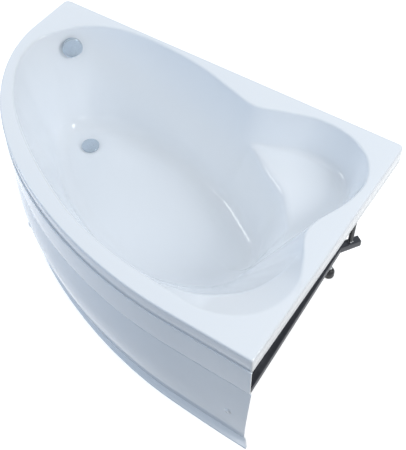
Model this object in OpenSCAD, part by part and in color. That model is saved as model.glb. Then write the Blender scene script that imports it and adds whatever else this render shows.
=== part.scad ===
// Asymmetric corner bathtub: acrylic shell with a corner seat, curved front panel, steel frame and levelling feet.
// The rim's wall corner is the drafting zero: the long wall runs along -X, the short wall along -Y, the floor is
// z = 0. place() moves each piece so that the origin is at the centre of the footprint, on the floor.

/* [Rim] */
// Length of the rim along the long wall
bath_length = 1530; // [1480:10:1600]
// Width of the rim along the short wall
bath_width = 1000; // [960:10:1050]
// Height of the rim above the floor
bath_height = 575; // [560:5:620]
// Height of the skirt that hangs from the rim
skirt_height = 69; // [55:1:80]
// Thickness of the skirt
skirt_thickness = 5; // [4:0.5:6]
// Thickness of the acrylic shell
shell_thickness = 6; // [5:0.5:7]
// Radius of the rim's outer edge
rim_radius = 7; // [4:0.5:7]
// Radius of the two rounded wall corners in plan
corner_radius = 22; // [15:1:30]
// Radius of the sharp front corner in plan
front_corner_radius = 6; // [6:1:10]
// Length of the straight stretch of the front beside the seat end
front_flat = 310; // [260:10:360]
// Length of the straight stretch at the foot end
left_flat = 200; // [170:10:230]
// Exponent of the front curve, where 2 is an ellipse
front_exponent = 1.92; // [1.85:0.01:2.1]

/* [Basin] */
// Height of the basin floor above the room's floor, which leaves room for the waste and the frame
floor_height = 145; // [140:1:160]
// Length of the rounding at the deck's inner edge
lip_length = 9; // [6:1:10]
// Length of the rounding between wall and floor
floor_fillet = 70; // [50:5:80]
// Depth of the corner seat below the rim
seat_depth = 140; // [120:5:160]
// Run of the seat's back wall in plan
seat_back_run = 58; // [40:1:60]
// Length of the roundings of the seat
seat_fillet = 32; // [20:1:36]
// Width of the sloping headrest band
headrest_width = 118; // [90:1:125]
// Depth of the headrest band's lower edge
headrest_depth = 52; // [40:1:60]

/* [Panel] */
// Thickness of the front panel
panel_thickness = 4; // [3:0.5:5]
// Gap between the skirt and the panel's shoulder
panel_gap = 1; // [1:0.5:3]
// Height of the panel's upper band
band_height = 138; // [120:1:150]
// How far the band stands proud of the rim
band_proud = 3; // [1:0.5:4]
// Depth of the groove under the band
groove_depth = 4; // [3:0.5:5]
// How far the panel swells forward at half height
panel_swell = 12; // [6:1:16]
// Height of the cove above the floor
cove_height = 38; // [30:1:60]
// Reach of the toe past the rim at the seat end
toe_reach_right = 29; // [24:1:34]
// Reach of the toe past the rim at the foot end, where it draws in
toe_reach_left = -2; // [-8:1:4]
// Width of the cove from wall to toe
cove_width = 18; // [14:1:24]
// Height of the toe's edge
toe_edge = 10; // [8:1:16]
// Radius of the caps over the panel screws
cap_radius = 12; // [10:0.5:14]
// Height of the panel screws above the floor
cap_height = 172; // [160:2:190]

/* [Frame] */
// Side of the square steel tube
tube = 30; // [26:1:32]
// Wall of the square steel tube
tube_wall = 2; // [1.5:0.5:3]
// Thickness of the base board under the basin floor
board_thickness = 16; // [12:1:18]
// Distance between the left cross rail and the drain's axis
drain_to_rail = 131; // [115:1:150]
// Distance of the middle cross rail from the short wall
cross_middle = 640; // [610:5:660]
// Distance of the back rails from the long wall
back_rail = 270; // [265:5:290]
// Distance of the front rails from the long wall
front_rail = 600; // [590:5:610]
// Lower radius of a rim post
post_radius = 10; // [9:0.5:12]
// Upper radius of a rim post
post_top_radius = 14; // [12:0.5:15]
// Thickness of the blocks under the deck
block_height = 18; // [14:1:22]

/* [Feet] */
// Radius of the threaded studs
stud_radius = 6; // [5:0.5:6]
// Radius of a foot's base
pad_radius = 22; // [18:1:24]
// Height of a foot's bell
pad_height = 46; // [40:1:50]
// Width of the hex nuts across their corners
nut_width = 22; // [21:0.5:24]
// Height of the hex nuts
nut_height = 10; // [8:0.5:11]
// How far a foot's stud stands above its rail
stud_above = 25; // [22:1:30]

/* [Waste] */
// Radius of the plug
plug_radius = 37; // [34:0.5:38]
// Thickness of the plug
plug_thickness = 5; // [4:0.5:6]
// Radius of the waste bore in the shell
waste_bore = 23; // [22:0.5:26]
// Radius of the overflow knob
knob_radius = 41; // [36:0.5:43]
// Thickness of the overflow knob
knob_thickness = 15; // [12:0.5:18]
// Depth of the overflow below the rim
overflow_depth = 74; // [70:1:90]
// Radius of the overflow bore in the shell
overflow_bore = 20; // [18:0.5:22]
// Radius of the overflow pipe
pipe_radius = 14; // [12:0.5:16]
// Radius of the outlet pipe
outlet_radius = 20; // [16:1:20]

/* [Hidden] */
$fn = 48;

// Clearances of the fits
running_gap = 0.06;
seat_gap = 0.3;
slip_gap = 0.1;

// Sampling of the rim: samples on a wall corner, the back, the right side, the flat, the curve and the foot end
corner_steps = 3;
back_steps = 25;
right_steps = 18;
flat_steps = 5;
curve_steps = 30;
left_steps = 4;

// Outline of the opening at deck level and of the basin floor's edge, seen from above, as hand-set points in
// thousandths of the rim's length and width, both clockwise from the foot end: point n of one faces point n of
// the other
OPENING = [[-953.6, -250], [-931.4, -180], [-885.6, -95], [-820.3, -44], [-732, -23], [-627.5, -27],
    [-522.9, -50], [-431.4, -88], [-356.2, -114], [-281, -80], [-202.6, -47], [-124.2, -58], [-58.8, -117],
    [-26.1, -215], [-32.7, -330], [-63.4, -455], [-65.4, -525], [-34, -620], [-15.7, -705], [-29.4, -812],
    [-75.2, -893], [-150.3, -936], [-261.4, -930], [-379.1, -915], [-503.3, -872], [-627.5, -793],
    [-751.6, -688], [-856.2, -568], [-928.1, -430], [-952.3, -335]];
FLOOR = [[-879.1, -290], [-866, -250], [-833.3, -205], [-784.3, -178], [-712.4, -165], [-620.9, -165],
    [-529.4, -185], [-457.5, -215], [-395.4, -250], [-336.6, -290], [-285.6, -335], [-248.4, -372],
    [-225.5, -410], [-214.4, -450], [-212.4, -490], [-219, -515], [-225.5, -540], [-234, -565],
    [-245.1, -592], [-261.4, -620], [-287.6, -648], [-320.3, -675], [-366, -700], [-424.8, -718],
    [-496.7, -720], [-588.2, -685], [-686.3, -620], [-777.8, -530], [-849.7, -430], [-875.8, -355]];

basin_depth = bath_height - floor_height;

// Places on these outlines, counted in outline points
seat_from = 8.25;
seat_to = 15.4;
headrest_at = 19.7;
headrest_before = 3.1;
headrest_after = 2.25;
overflow_at = 1.4;

function lerp(a, b, t) = a + (b - a) * t;
function unit(v) = v / norm(v);
function clamp(v, low, high) = max(low, min(high, v));

// Point at u on the closed smooth curve through the points
function spline(points, u) =
    let (n = len(points), i = floor(u), t = u - i)
    let (a = points[(i + n - 1) % n], b = points[i % n], c = points[(i + 1) % n], d = points[(i + 2) % n])
    (2 * b + (c - a) * t + (2 * a - 5 * b + 4 * c - d) * t * t + (3 * b - a - 3 * c + d) * t * t * t) / 2;
function fitted(p) = [p[0] * bath_length, p[1] * bath_width] / 1000;
function opening_at(u) = fitted(spline(OPENING, u));
function floor_at(u) = fitted(spline(FLOOR, u));

// Front curve: angle 0 is at the end of the flat, angle 90 at the foot end
front_semi = [bath_length - front_flat, bath_width - left_flat];
function curve_point(angle) = [
    -front_flat - front_semi[0] * pow(sin(angle), 2 / front_exponent),
    -left_flat - front_semi[1] * pow(cos(angle), 2 / front_exponent)];
function front_y(x) = -left_flat
    - front_semi[1] * pow(1 - pow((-x - front_flat) / front_semi[0], front_exponent), 1 / front_exponent);

// Rim samples, clockwise from the left wall corner: [plan point, place on the opening's outline]
rim_samples = concat(
    [for (k = [0:corner_steps]) let (f = k / corner_steps, a = 180 - 90 * f)
        [[-bath_length, 0] + corner_radius * [1 + cos(a), sin(a) - 1], lerp(1.05, 1.35, f)]],
    [for (k = [1:back_steps - 1]) let (f = k / back_steps)
        [[lerp(-bath_length + corner_radius, -corner_radius, f), 0], lerp(1.35, 12.15, f)]],
    [for (k = [0:corner_steps]) let (f = k / corner_steps, a = 90 - 90 * f)
        [corner_radius * [cos(a) - 1, sin(a) - 1], lerp(12.15, 12.45, f)]],
    [for (k = [1:right_steps - 1]) let (f = k / right_steps)
        [[0, lerp(-corner_radius, -bath_width + front_corner_radius, f)], lerp(12.45, 19.7, f)]],
    [for (k = [0:corner_steps - 1]) let (f = k / (corner_steps - 1), a = -90 * f)
        [[0, -bath_width] + front_corner_radius * [cos(a) - 1, sin(a) + 1], lerp(19.7, 19.9, f)]],
    [for (k = [1:flat_steps]) let (f = k / flat_steps)
        [[lerp(-front_corner_radius, -front_flat, f), -bath_width], lerp(19.9, 21.6, f)]],
    [for (k = [1:curve_steps]) let (f = k / curve_steps) [curve_point(90 * f), lerp(21.6, 29.8, f)]],
    [for (k = [1:left_steps - 1]) let (f = k / left_steps)
        [[-bath_length, lerp(-left_flat, -corner_radius, f)], lerp(29.8, 31.05, f)]]);
rim_count = len(rim_samples);
rim_line = [for (s = rim_samples) s[0]];

// Clockwise outline moved inward by d at each point
function inset(line, d) = [for (i = [0:len(line) - 1])
    let (n = len(line), p = line[(i + n - 1) % n], q = line[i], r = line[(i + 1) % n])
    let (a = unit(q - p), b = unit(r - q), na = [a[1], -a[0]], nb = [b[1], -b[0]])
    q + d * (na + nb) / (1 + na * nb)];

// How much of the seat and of the headrest shows at u
seat_rise = 4;
seat_fall = 2.3;
seat_softness = 1.3;
function seat_amount(u) =
    let (off_middle = 2 * u - seat_from - seat_to, share = abs(off_middle) / (seat_to - seat_from))
    share >= 1 ? 0 : pow(1 - pow(share, off_middle < 0 ? seat_rise : seat_fall), seat_softness);
function headrest_amount(u) =
    let (share = (u - headrest_at) / (u < headrest_at ? headrest_before : headrest_after))
    abs(share) >= 1 ? 0 : cos(90 * share);

// Wall section at u as corners [run from the deck's edge, height from the rim]: deck, edge, headrest, seat back,
// seat edge, floor edge, floor
deck_run = 100;
lip_share = 0.06;
seat_edge_share = 0.75;
seat_edge_drop = 20;
function wall_corners(u) =
    let (run = norm(floor_at(u) - opening_at(u)), h = headrest_amount(u), g = seat_amount(u))
    let (foot = [run, -basin_depth], lip_fall = lip_share * basin_depth)
    let (lip = [lerp(lip_share * run, seat_back_run * lip_fall / seat_depth, g), -lip_fall])
    let (brow = lerp(lip, [headrest_width, -headrest_depth], h))
    let (back_t = (seat_depth + brow[1]) / (basin_depth + brow[1]), edge_t = back_t + seat_edge_drop / basin_depth)
    [[-deck_run, 0], [0, 0], brow,
        lerp(lerp(brow, foot, back_t), [seat_back_run, -seat_depth], g * g),
        lerp(lerp(brow, foot, edge_t), [seat_edge_share * run, -seat_depth], g),
        foot, [run + deck_run, -basin_depth]];

// Lengths of the roundings at the five inner corners
brow_fillet = 13;
function wall_roundings(u) =
    let (h = headrest_amount(u), g = seat_amount(u))
    [lip_length, lerp(5, brow_fillet, h), lerp(8, seat_fillet, g * g), lerp(8, seat_fillet, g * g), floor_fillet];

// Corners moved by d to the outside of the basin
function offset_corners(c, d) = [for (i = [0:len(c) - 1])
    let (a = unit(c[min(i + 1, len(c) - 1)] - c[min(i, len(c) - 2)]), b = unit(c[max(i, 1)] - c[max(i - 1, 0)]))
    let (na = [a[1], -a[0]], nb = [b[1], -b[0]]) c[i] + d * (na + nb) / (1 + na * nb)];

// Rounded corner between a and c as a short curve of steps spans
function rounding(a, b, c, d, steps) =
    let (p = b + d * unit(a - b), q = b + d * unit(c - b))
    [for (k = [0:steps]) let (t = k / steps) (1 - t) * (1 - t) * p + 2 * t * (1 - t) * b + t * t * q];
rounding_steps = [2, 2, 2, 2, 3];
function wall_section(u, d = 0) =
    let (c = offset_corners(wall_corners(u), d), r = wall_roundings(u))
    [for (k = [1:5]) each rounding(c[k - 1], c[k], c[k + 1], r[k - 1], rounding_steps[k - 1])];

// Closed loops of the wall, one for each section point, from the deck to the floor
function wall_loops(d) =
    let (sections = [for (s = rim_samples) wall_section(s[1], d)])
    [for (k = [0:len(sections[0]) - 1]) [for (i = [0:rim_count - 1])
        let (u = rim_samples[i][1], o = opening_at(u), way = unit(floor_at(u) - o), p = sections[i][k])
        [o[0] + way[0] * p[0], o[1] + way[1] * p[0], bath_height + p[1]]]];
function level(line, z) = [for (p = line) [p[0], p[1], z]];
function reversed(list) = [for (i = [len(list) - 1:-1:0]) list[i]];

// Solid skinned over closed loops, closed at both ends by a fan to a point
module skinned(loops, first_centre, last_centre) {
    n = len(loops[0]);
    m = len(loops);
    points = concat([for (loop = loops) each loop], [first_centre, last_centre]);
    faces = concat(
        [for (k = [0:m - 2], i = [0:n - 1]) each let (j = (i + 1) % n)
            [[k * n + i, k * n + j, (k + 1) * n + j], [k * n + i, (k + 1) * n + j, (k + 1) * n + i]]],
        [for (i = [0:n - 1]) [m * n, (i + 1) % n, i]],
        [for (i = [0:n - 1]) [m * n + 1, (m - 1) * n + i, (m - 1) * n + (i + 1) % n]]);
    polyhedron(points, faces, convexity = 10);
}

function quad(a, b, c, d) = [[a, b, c], [a, c, d]];
// Solid sheet between two grids of points, row by row
module sheet(outer, inner) {
    rows = len(outer);
    cols = len(outer[0]);
    count = rows * cols;
    points = concat([for (row = outer) each row], [for (row = inner) each row]);
    last = (rows - 1) * cols;
    faces = concat(
        [for (r = [0:rows - 2], c = [0:cols - 2]) each let (a = r * cols + c)
            quad(a, a + 1, a + cols + 1, a + cols)],
        [for (r = [0:rows - 2], c = [0:cols - 2]) each let (a = count + r * cols + c)
            quad(a, a + cols, a + cols + 1, a + 1)],
        [for (r = [0:rows - 2]) each let (a = r * cols) quad(a, a + cols, a + cols + count, a + count)],
        [for (r = [0:rows - 2]) each let (a = r * cols + cols - 1)
            quad(a, a + count, a + cols + count, a + cols)],
        [for (c = [0:cols - 2]) each quad(c, c + count, c + count + 1, c + 1)],
        [for (c = [last:last + cols - 2]) each quad(c, c + 1, c + count + 1, c + count)]);
    polyhedron(points, faces, convexity = 10);
}

// Levels
floor_top = floor_height;
floor_under = floor_top - shell_thickness;
deck_under = bath_height - shell_thickness;
rail_top = floor_under - board_thickness;
rail_bottom = rail_top - tube;
basin_centre = fitted([-555.6, -420]);

// Waste and overflow places
drain = fitted([-798, -317]);
cross_left = -drain[0] - drain_to_rail;
overflow_plan = opening_at(overflow_at);
overflow_way = floor_at(overflow_at) - overflow_plan;
overflow_point = [each (overflow_plan + overflow_way * overflow_depth / basin_depth), bath_height - overflow_depth];
overflow_along = opening_at(overflow_at + 0.2) - opening_at(overflow_at - 0.2);
overflow_normal = unit(cross([each overflow_way, -basin_depth], [each overflow_along, 0]));
overflow_azimuth = atan2(overflow_normal[1], overflow_normal[0]);
overflow_tilt = acos(overflow_normal[2]);

// Footprint: the toe reaches past the rim in front, and a little past it at the seat end
toe_tail = 6;
footprint_centre = [(toe_tail - bath_length - band_proud) / 2, -(bath_width + toe_reach_right) / 2];
module place() { translate([-footprint_centre[0], -footprint_centre[1], 0]) children(); }
module at_drain() { place() translate([drain[0], drain[1], 0]) children(); }
module at_overflow() {
    place() translate(overflow_point) rotate([0, overflow_tilt, overflow_azimuth]) children();
}
module ring(outer, inner, h) {
    difference() {
        cylinder(r = outer, h = h);
        translate([0, 0, -1]) cylinder(r = inner, h = h + 2);
    }
}
module hex_nut(bore, h = nut_height) {
    difference() {
        cylinder(d = nut_width, h = h, $fn = 6);
        translate([0, 0, -1]) cylinder(r = bore, h = h + 2);
    }
}

// Flat seat of the overflow: a pocket on the wet side and a boss behind it
pocket_radius = 38;
pocket_depth = 0.6;
boss_depth = 12;
module bath_shell() {
    skirt = inset(rim_line, skirt_thickness);
    soft = rim_radius * (1 - cos(45));
    upper = wall_loops(0);
    under = wall_loops(shell_thickness);
    loops = concat(reversed(under),
        [level(skirt, deck_under), level(skirt, bath_height - skirt_height)],
        [level(rim_line, bath_height - skirt_height), level(rim_line, bath_height - rim_radius),
            level(inset(rim_line, soft), bath_height - soft), level(inset(rim_line, rim_radius), bath_height)],
        upper);
    color("aliceblue") place() difference() {
        union() {
            skinned(loops, [each basin_centre, floor_under], [each basin_centre, floor_top]);
            translate(overflow_point) rotate([0, overflow_tilt, overflow_azimuth])
                translate([0, 0, -boss_depth]) cylinder(r = pocket_radius + 3, h = boss_depth - pocket_depth);
        }
        translate(overflow_point) rotate([0, overflow_tilt, overflow_azimuth]) {
            translate([0, 0, -pocket_depth]) cylinder(r = pocket_radius, h = 20);
            translate([0, 0, -boss_depth - 10]) cylinder(r = overflow_bore, h = 30);
        }
        translate([drain[0], drain[1], floor_under - 1]) cylinder(r = waste_bore, h = shell_thickness + 2);
    }
}

// Base board bonded under the flat of the basin floor, cut out round the waste
board_cut_radius = 44;
screw_radius = 2.5;
floor_flat_line = [for (s = rim_samples) let (o = opening_at(s[1]), f = floor_at(s[1]))
    f + unit(f - o) * floor_fillet];
module base_board() {
    color("burlywood") place() difference() {
        translate([0, 0, rail_top]) linear_extrude(board_thickness) polygon(floor_flat_line);
        translate([drain[0], drain[1], rail_top - 1]) cylinder(r = board_cut_radius, h = board_thickness + 2);
        for (tab = TABS) translate([each tab_centre(tab), rail_top - 1]) cylinder(r = screw_radius, h = 11);
    }
}

// Front panel: stations from the seat end to the foot end as [plan point, share of the way along]
panel_end_gap = 4;
panel_flat_steps = 6;
panel_curve_steps = 34;
panel_left_steps = 4;
panel_line = concat(
    [for (k = [0:panel_flat_steps - 1]) [-front_flat * k / panel_flat_steps, -bath_width]],
    [for (k = [0:panel_curve_steps]) curve_point(90 * k / panel_curve_steps)],
    [for (k = [1:panel_left_steps])
        [-bath_length, lerp(-left_flat, -panel_end_gap, k / panel_left_steps)]]);
panel_count = len(panel_line);
function panel_normal(i) =
    let (a = panel_line[max(i - 1, 0)], b = panel_line[min(i + 1, panel_count - 1)], t = unit(b - a))
    [-t[1], t[0]];
shoulder_z = bath_height - skirt_height - panel_gap;
groove_z = shoulder_z - band_height;
tongue_rise = 34;
tongue_back = skirt_thickness + 1.5;

// Point of the cove at share t: it leaves the wall at a in line with it and runs out flat to the toe at b
cove_lead = 5;
function cove_point(a, b, t) =
    let (c = [a[0] - cove_lead, lerp(a[1], b[1], 0.45)], d = [a[0] + cove_lead, b[1] + cove_lead])
    pow(1 - t, 3) * a + 3 * t * pow(1 - t, 2) * c + 3 * t * t * (1 - t) * d + pow(t, 3) * b;

// Share of the way to the foot end over which the toe draws in and the cove runs out to its narrow width
toe_draws_in = 0.42;
cove_narrow = 5;
function ease(share) = let (t = clamp(share, 0, 1)) t * t * (3 - 2 * t);

// Panel section at share w, from the tongue behind the skirt down to the toe: [reach past the rim, height]
function panel_section(w) =
    let (drawn = ease(w / toe_draws_in), toe = lerp(toe_reach_right, toe_reach_left, drawn))
    let (low = toe - lerp(cove_width, cove_narrow, drawn))
    let (swell = panel_swell * sin(180 * w) + lerp(6, 0, w), start = band_proud - 1, top = groove_z - 6)
    concat(
        [[-tongue_back, shoulder_z + tongue_rise], [-tongue_back, shoulder_z], [band_proud, shoulder_z - 2],
            [band_proud, groove_z], [band_proud - groove_depth, groove_z - 2], [start, top]],
        [for (t = [0.25, 0.5, 0.75, 1]) let (z = lerp(top, cove_height, t))
            [lerp(start, low, t * t) + swell * sin(180 * t), z]],
        [for (t = [0.25, 0.5, 0.75, 1]) cove_point([low, cove_height], [toe, toe_edge], t)],
        [[toe, 0]]);

// Inner side of the section, one wall thickness behind it; its last point stays on the floor
function panel_inner_section(w) =
    let (s = panel_section(w), o = [for (p = s) [-p[0], p[1]]], n = len(s))
    let (inner = [for (i = [0:n - 1])
        let (a = unit(o[min(i + 1, n - 1)] - o[min(i, n - 2)]), b = unit(o[max(i, 1)] - o[max(i - 1, 0)]))
        let (na = [-a[1], a[0]], nb = [-b[1], b[0]]) o[i] + panel_thickness * (na + nb) / (1 + na * nb)])
    [for (i = [0:n - 1]) [-inner[i][0], i == n - 1 ? 0 : inner[i][1]]];

// Shift of the seat end's edge along the wall, by height
tongue_end_back = -7;
band_end_back = -3;
wall_end_back = -14;
function end_shift(z) = z > groove_z - 5 ? lerp(band_end_back, 0, (z - groove_z) / band_height)
    : z > cove_height ? lerp(2, wall_end_back, (groove_z - z) / (groove_z - cove_height))
    : lerp(toe_tail, wall_end_back, pow(clamp((z - toe_edge) / (cove_height - toe_edge), 0, 1), 0.6));
function panel_row(i, section) =
    let (n = panel_normal(i), p = panel_line[i])
    let (shift = [for (s = section) i > 0 ? 0 : s[0] < -skirt_thickness ? tongue_end_back : end_shift(s[1])])
    [for (k = [0:len(section) - 1]) let (s = section[k])
        [p[0] + n[0] * s[0] + shift[k], p[1] + n[1] * s[0], s[1]]];
module panel_body() {
    sheet([for (i = [0:panel_count - 1]) panel_row(i, panel_section(i / (panel_count - 1)))],
        [for (i = [0:panel_count - 1]) panel_row(i, panel_inner_section(i / (panel_count - 1)))]);
}

// Reach of the panel's outer face past the rim at share w, at the height of the screws
function screw_reach(w) =
    let (s = panel_section(w), above = [for (p = s) if (p[1] > cap_height && p[1] < groove_z) p])
    let (a = above[len(above) - 1], b = [for (p = s) if (p[1] <= cap_height) p][0])
    lerp(a[0], b[0], (a[1] - cap_height) / (a[1] - b[1]));

// Places of the panel screws: [plan point on the rim line, outward normal, reach of the panel]
right_fix_x = 78;
rail_to_fix = 45.06;
left_fix_x = cross_left + rail_to_fix;
function tangent_normal(x) = let (d = 1, t = unit([-2 * d, front_y(-x - d) - front_y(-x + d)])) [t[1], -t[0]];
function share_of(x) = let (n = [for (p = panel_line) if (p[0] > -x) p], i = len(n) - 1)
    (i + (x + panel_line[i][0]) / (panel_line[i][0] - panel_line[i + 1][0])) / (panel_count - 1);
PANEL_FIXES = [[[-right_fix_x, -bath_width], [0, -1], screw_reach(share_of(right_fix_x))],
    [[-left_fix_x, front_y(-left_fix_x)], -tangent_normal(left_fix_x), screw_reach(share_of(left_fix_x))]];

// Frame at a panel screw: +X points out of the panel, zero on the panel's outer face
module at_fix(fix) {
    n = fix[1];
    p = fix[0] + fix[2] * n;
    place() translate([p[0], p[1], cap_height]) rotate(atan2(n[1], n[0])) children();
}
module along_x(from, to, r) { translate([from, 0, 0]) rotate([0, 90, 0]) cylinder(r = r, h = to - from); }

cap_pocket = 1;
cap_rise = 5;
panel_boss_length = 24;
panel_boss_radius = 10;
panel_screw_radius = 3;
panel_screw_head = 7;
bracket_thickness = 3;
bracket_width = 28;
bracket_rise = 24;
strip_on_rail = 44;
tongue_room = 2;
module front_panel() {
    color("aliceblue") difference() {
        union() {
            place() panel_body();
            for (fix = PANEL_FIXES) at_fix(fix) along_x(-panel_boss_length, -panel_thickness / 2, panel_boss_radius);
        }
        for (fix = PANEL_FIXES) at_fix(fix) {
            along_x(-cap_pocket, 10, cap_radius + seat_gap);
            along_x(-panel_boss_length - 1, 1, panel_screw_radius + slip_gap);
        }
        place() translate([-bath_length, -corner_radius - tongue_room, shoulder_z + panel_gap / 2])
            cube([2 * corner_radius, 2 * corner_radius, skirt_height]);
    }
}
module panel_caps() {
    color("white") for (fix = PANEL_FIXES) at_fix(fix) difference() {
        rotate([0, 90, 0]) translate([0, 0, -cap_pocket]) rotate_extrude() polygon([[0, 0], [cap_radius, 0],
            [cap_radius, 2.5], [cap_radius * 0.85, cap_rise - 0.5], [cap_radius * 0.6, cap_rise + 0.6],
            [0, cap_rise + cap_pocket]]);
        along_x(-cap_pocket - 1, 2.5, panel_screw_head + 0.8);
    }
}
module panel_screws() {
    color("silver") for (fix = PANEL_FIXES) at_fix(fix) {
        along_x(-cap_pocket, 2, panel_screw_head);
        along_x(-panel_boss_length - bracket_thickness - 8, 0, panel_screw_radius);
    }
}
// Angle: an upright plate behind the panel's boss on a foot that runs back onto the side rail
module panel_bracket_right() {
    foot_length = 42;
    color("dimgray") at_fix(PANEL_FIXES[0]) difference() {
        translate([-panel_boss_length - foot_length, -bracket_width / 2, rail_top - cap_height])
            rotate([90, 0, 0]) mirror([0, 0, 1]) linear_extrude(bracket_width * 1.5)
                polygon([[0, 0], [foot_length, 0], [foot_length, cap_height + bracket_rise - rail_top],
                    [foot_length - bracket_thickness, cap_height + bracket_rise - rail_top],
                    [foot_length - bracket_thickness, bracket_thickness], [0, bracket_thickness]]);
        along_x(-panel_boss_length - bracket_thickness - 1, 0, panel_screw_radius + slip_gap);
    }
}
// Strip bent in plan: behind the panel's boss first, then along the left face of the left cross rail
module panel_bracket_left() {
    strip_bottom = rail_bottom + 6;
    strip_end = cross_left_front + strip_on_rail;
    rail_face = -cross_left - tube / 2;
    n = PANEL_FIXES[1][1];
    t = [-n[1], n[0]];
    outer = PANEL_FIXES[1][0] + (PANEL_FIXES[1][2] - panel_boss_length) * n;
    inner = outer - bracket_thickness * n;
    function reach_x(p, x) = [x, p[1] + (x - p[0]) * t[1] / t[0]];
    color("dimgray") difference() {
        place() translate([0, 0, strip_bottom]) linear_extrude(cap_height + bracket_rise - strip_bottom)
            polygon([outer - bracket_width / 2 * t, reach_x(outer, rail_face), [rail_face, strip_end],
                [rail_face - bracket_thickness, strip_end], reach_x(inner, rail_face - bracket_thickness),
                inner - bracket_width / 2 * t]);
        at_fix(PANEL_FIXES[1])
            along_x(-panel_boss_length - bracket_thickness - 1, 0, panel_screw_radius + slip_gap);
    }
}

// Rails: the side rail runs slightly askew, the diagonal one runs out to the wall corner
rail_to_front = 40;
side_front = [-79, -bath_width + rail_to_front];
side_back = [-104, -215];
diagonal_end = [-55, -116];
diagonal_angle = 236.6;
diagonal_way = [cos(diagonal_angle), sin(diagonal_angle)];
arm_start = [-cross_left, -160];
arm_to_foot_end = 45;
arm_end = [-bath_length + arm_to_foot_end, -40];
cross_back = -135;
cross_left_to_front = 26;
cross_middle_to_front = 12;
post_inset = 30;
cross_left_front = front_y(-cross_left) + cross_left_to_front;
cross_middle_front = front_y(-cross_middle) + cross_middle_to_front;
function side_rail_at(y) = side_front + (side_back - side_front) * (y - side_front[1]) / (side_back[1] - side_front[1]);
function arm_at(x) = arm_start + (arm_end - arm_start) * (x - arm_start[0]) / (arm_end[0] - arm_start[0]);

// Square tube from a to b on the frame's level, hollow all along
module square_tube(a, b) {
    way = b - a;
    place() translate([a[0], a[1], rail_bottom]) rotate(atan2(way[1], way[0])) translate([0, -tube / 2, 0])
        difference() {
            cube([norm(way), tube, tube]);
            translate([-1, tube_wall, tube_wall]) cube([norm(way) + 2, tube - 2 * tube_wall, tube - 2 * tube_wall]);
        }
}
// Block over the rail that runs through p along angle and over all on its left side
module beyond(p, angle) {
    place() translate([p[0], p[1], rail_bottom - 1]) rotate(angle) translate([-300, -tube / 2, 0])
        cube([600, 250, tube + 2]);
}
// Upright hole through both walls of a rail
module stud_hole(p, gap) {
    place() translate([p[0], p[1], rail_bottom - 1]) cylinder(r = stud_radius + gap, h = tube + 2);
}
foot_from_side_end = 30;
foot_from_corner = 248;
foot_from_front = 140;
foot_from_wall = 175;
foot_from_rail_end = 86;
foot_from_foot_end = 130;
FEET = [side_rail_at(side_front[1] + foot_from_side_end), side_rail_at(-foot_from_corner),
    [-cross_middle, -bath_width + foot_from_front], [-cross_middle, -foot_from_wall],
    [-cross_left, cross_left_front + foot_from_rail_end], arm_at(-bath_length + foot_from_foot_end)];
module foot_holes() { for (p = FEET) stud_hole(p, running_gap); }

// Posts: [place, height of the top]; the first stands under the wall corner and carries the strut head
strut_block_room = 83;
strut_top = deck_under - strut_block_room;
post_from_end = 38;
strut_place = diagonal_end + post_from_end * diagonal_way;
block_top = deck_under;
side_post_from_end = 60;
arm_post_from_end = 22;
POSTS = [side_rail_at(side_front[1] + side_post_from_end), [-cross_middle, front_y(-cross_middle) + post_inset],
    [-cross_left, front_y(-cross_left) + post_inset + 10], arm_end + unit(arm_start - arm_end) * arm_post_from_end];
module post_holes() { for (p = concat([strut_place], POSTS)) stud_hole(p, slip_gap); }

module frame_part() {
    color("dimgray") difference() {
        children();
        foot_holes();
        post_holes();
    }
}
module cross_rail_left() { frame_part() square_tube([-cross_left, cross_back], [-cross_left, cross_left_front]); }
module cross_rail_middle() { frame_part() square_tube([-cross_middle, cross_back], [-cross_middle, cross_middle_front]); }
module rail_between(y) {
    color("dimgray") square_tube([-cross_left + tube / 2, y], [-cross_middle - tube / 2, y]);
}
module back_rail_left() { rail_between(-back_rail); }
module front_rail_left() { rail_between(-front_rail); }
module back_rail_right() {
    color("dimgray") difference() {
        square_tube([-cross_middle + tube / 2, -back_rail], [-50, -back_rail]);
        beyond(diagonal_end, diagonal_angle);
    }
}
side_angle = atan2(side_back[1] - side_front[1], side_back[0] - side_front[0]);
module front_rail_right() {
    color("dimgray") difference() {
        square_tube([-cross_middle + tube / 2, -front_rail], [0, -front_rail]);
        beyond(side_front + [0, 200], side_angle - 180);
        beyond(side_rail_at(-front_rail), side_angle - 180);
    }
}
module side_rail() {
    frame_part() difference() {
        square_tube(side_front, side_rail_at(-165));
        beyond(diagonal_end, diagonal_angle - 180);
    }
}
module diagonal_rail() {
    frame_part() difference() {
        square_tube(diagonal_end, diagonal_end + 620 * diagonal_way);
        beyond([-400, -front_rail], 180);
    }
}
module corner_arm() {
    frame_part() difference() {
        square_tube(arm_start, arm_end);
        beyond(arm_start, -90);
    }
}

// Caps over the open tube ends: [place, direction the end faces]
TUBE_ENDS = [[[-cross_left, cross_back], 90], [[-cross_left, cross_left_front], -90],
    [[-cross_middle, cross_back], 90], [[-cross_middle, cross_middle_front], -90],
    [side_front, side_angle - 180], [diagonal_end, diagonal_angle - 180],
    [arm_end, atan2(arm_end[1] - arm_start[1], arm_end[0] - arm_start[0])]];
cap_plate = 3;
cap_plug = 6;
module tube_caps() {
    inner = tube - 2 * tube_wall - 2 * slip_gap;
    color("black") for (end = TUBE_ENDS)
        place() translate([end[0][0], end[0][1], rail_bottom]) rotate(end[1]) {
            translate([0, -tube / 2, 0]) cube([cap_plate, tube, tube]);
            translate([-cap_plug, -inner / 2, tube_wall + slip_gap]) cube([cap_plug, inner, inner]);
        }
}

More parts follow.
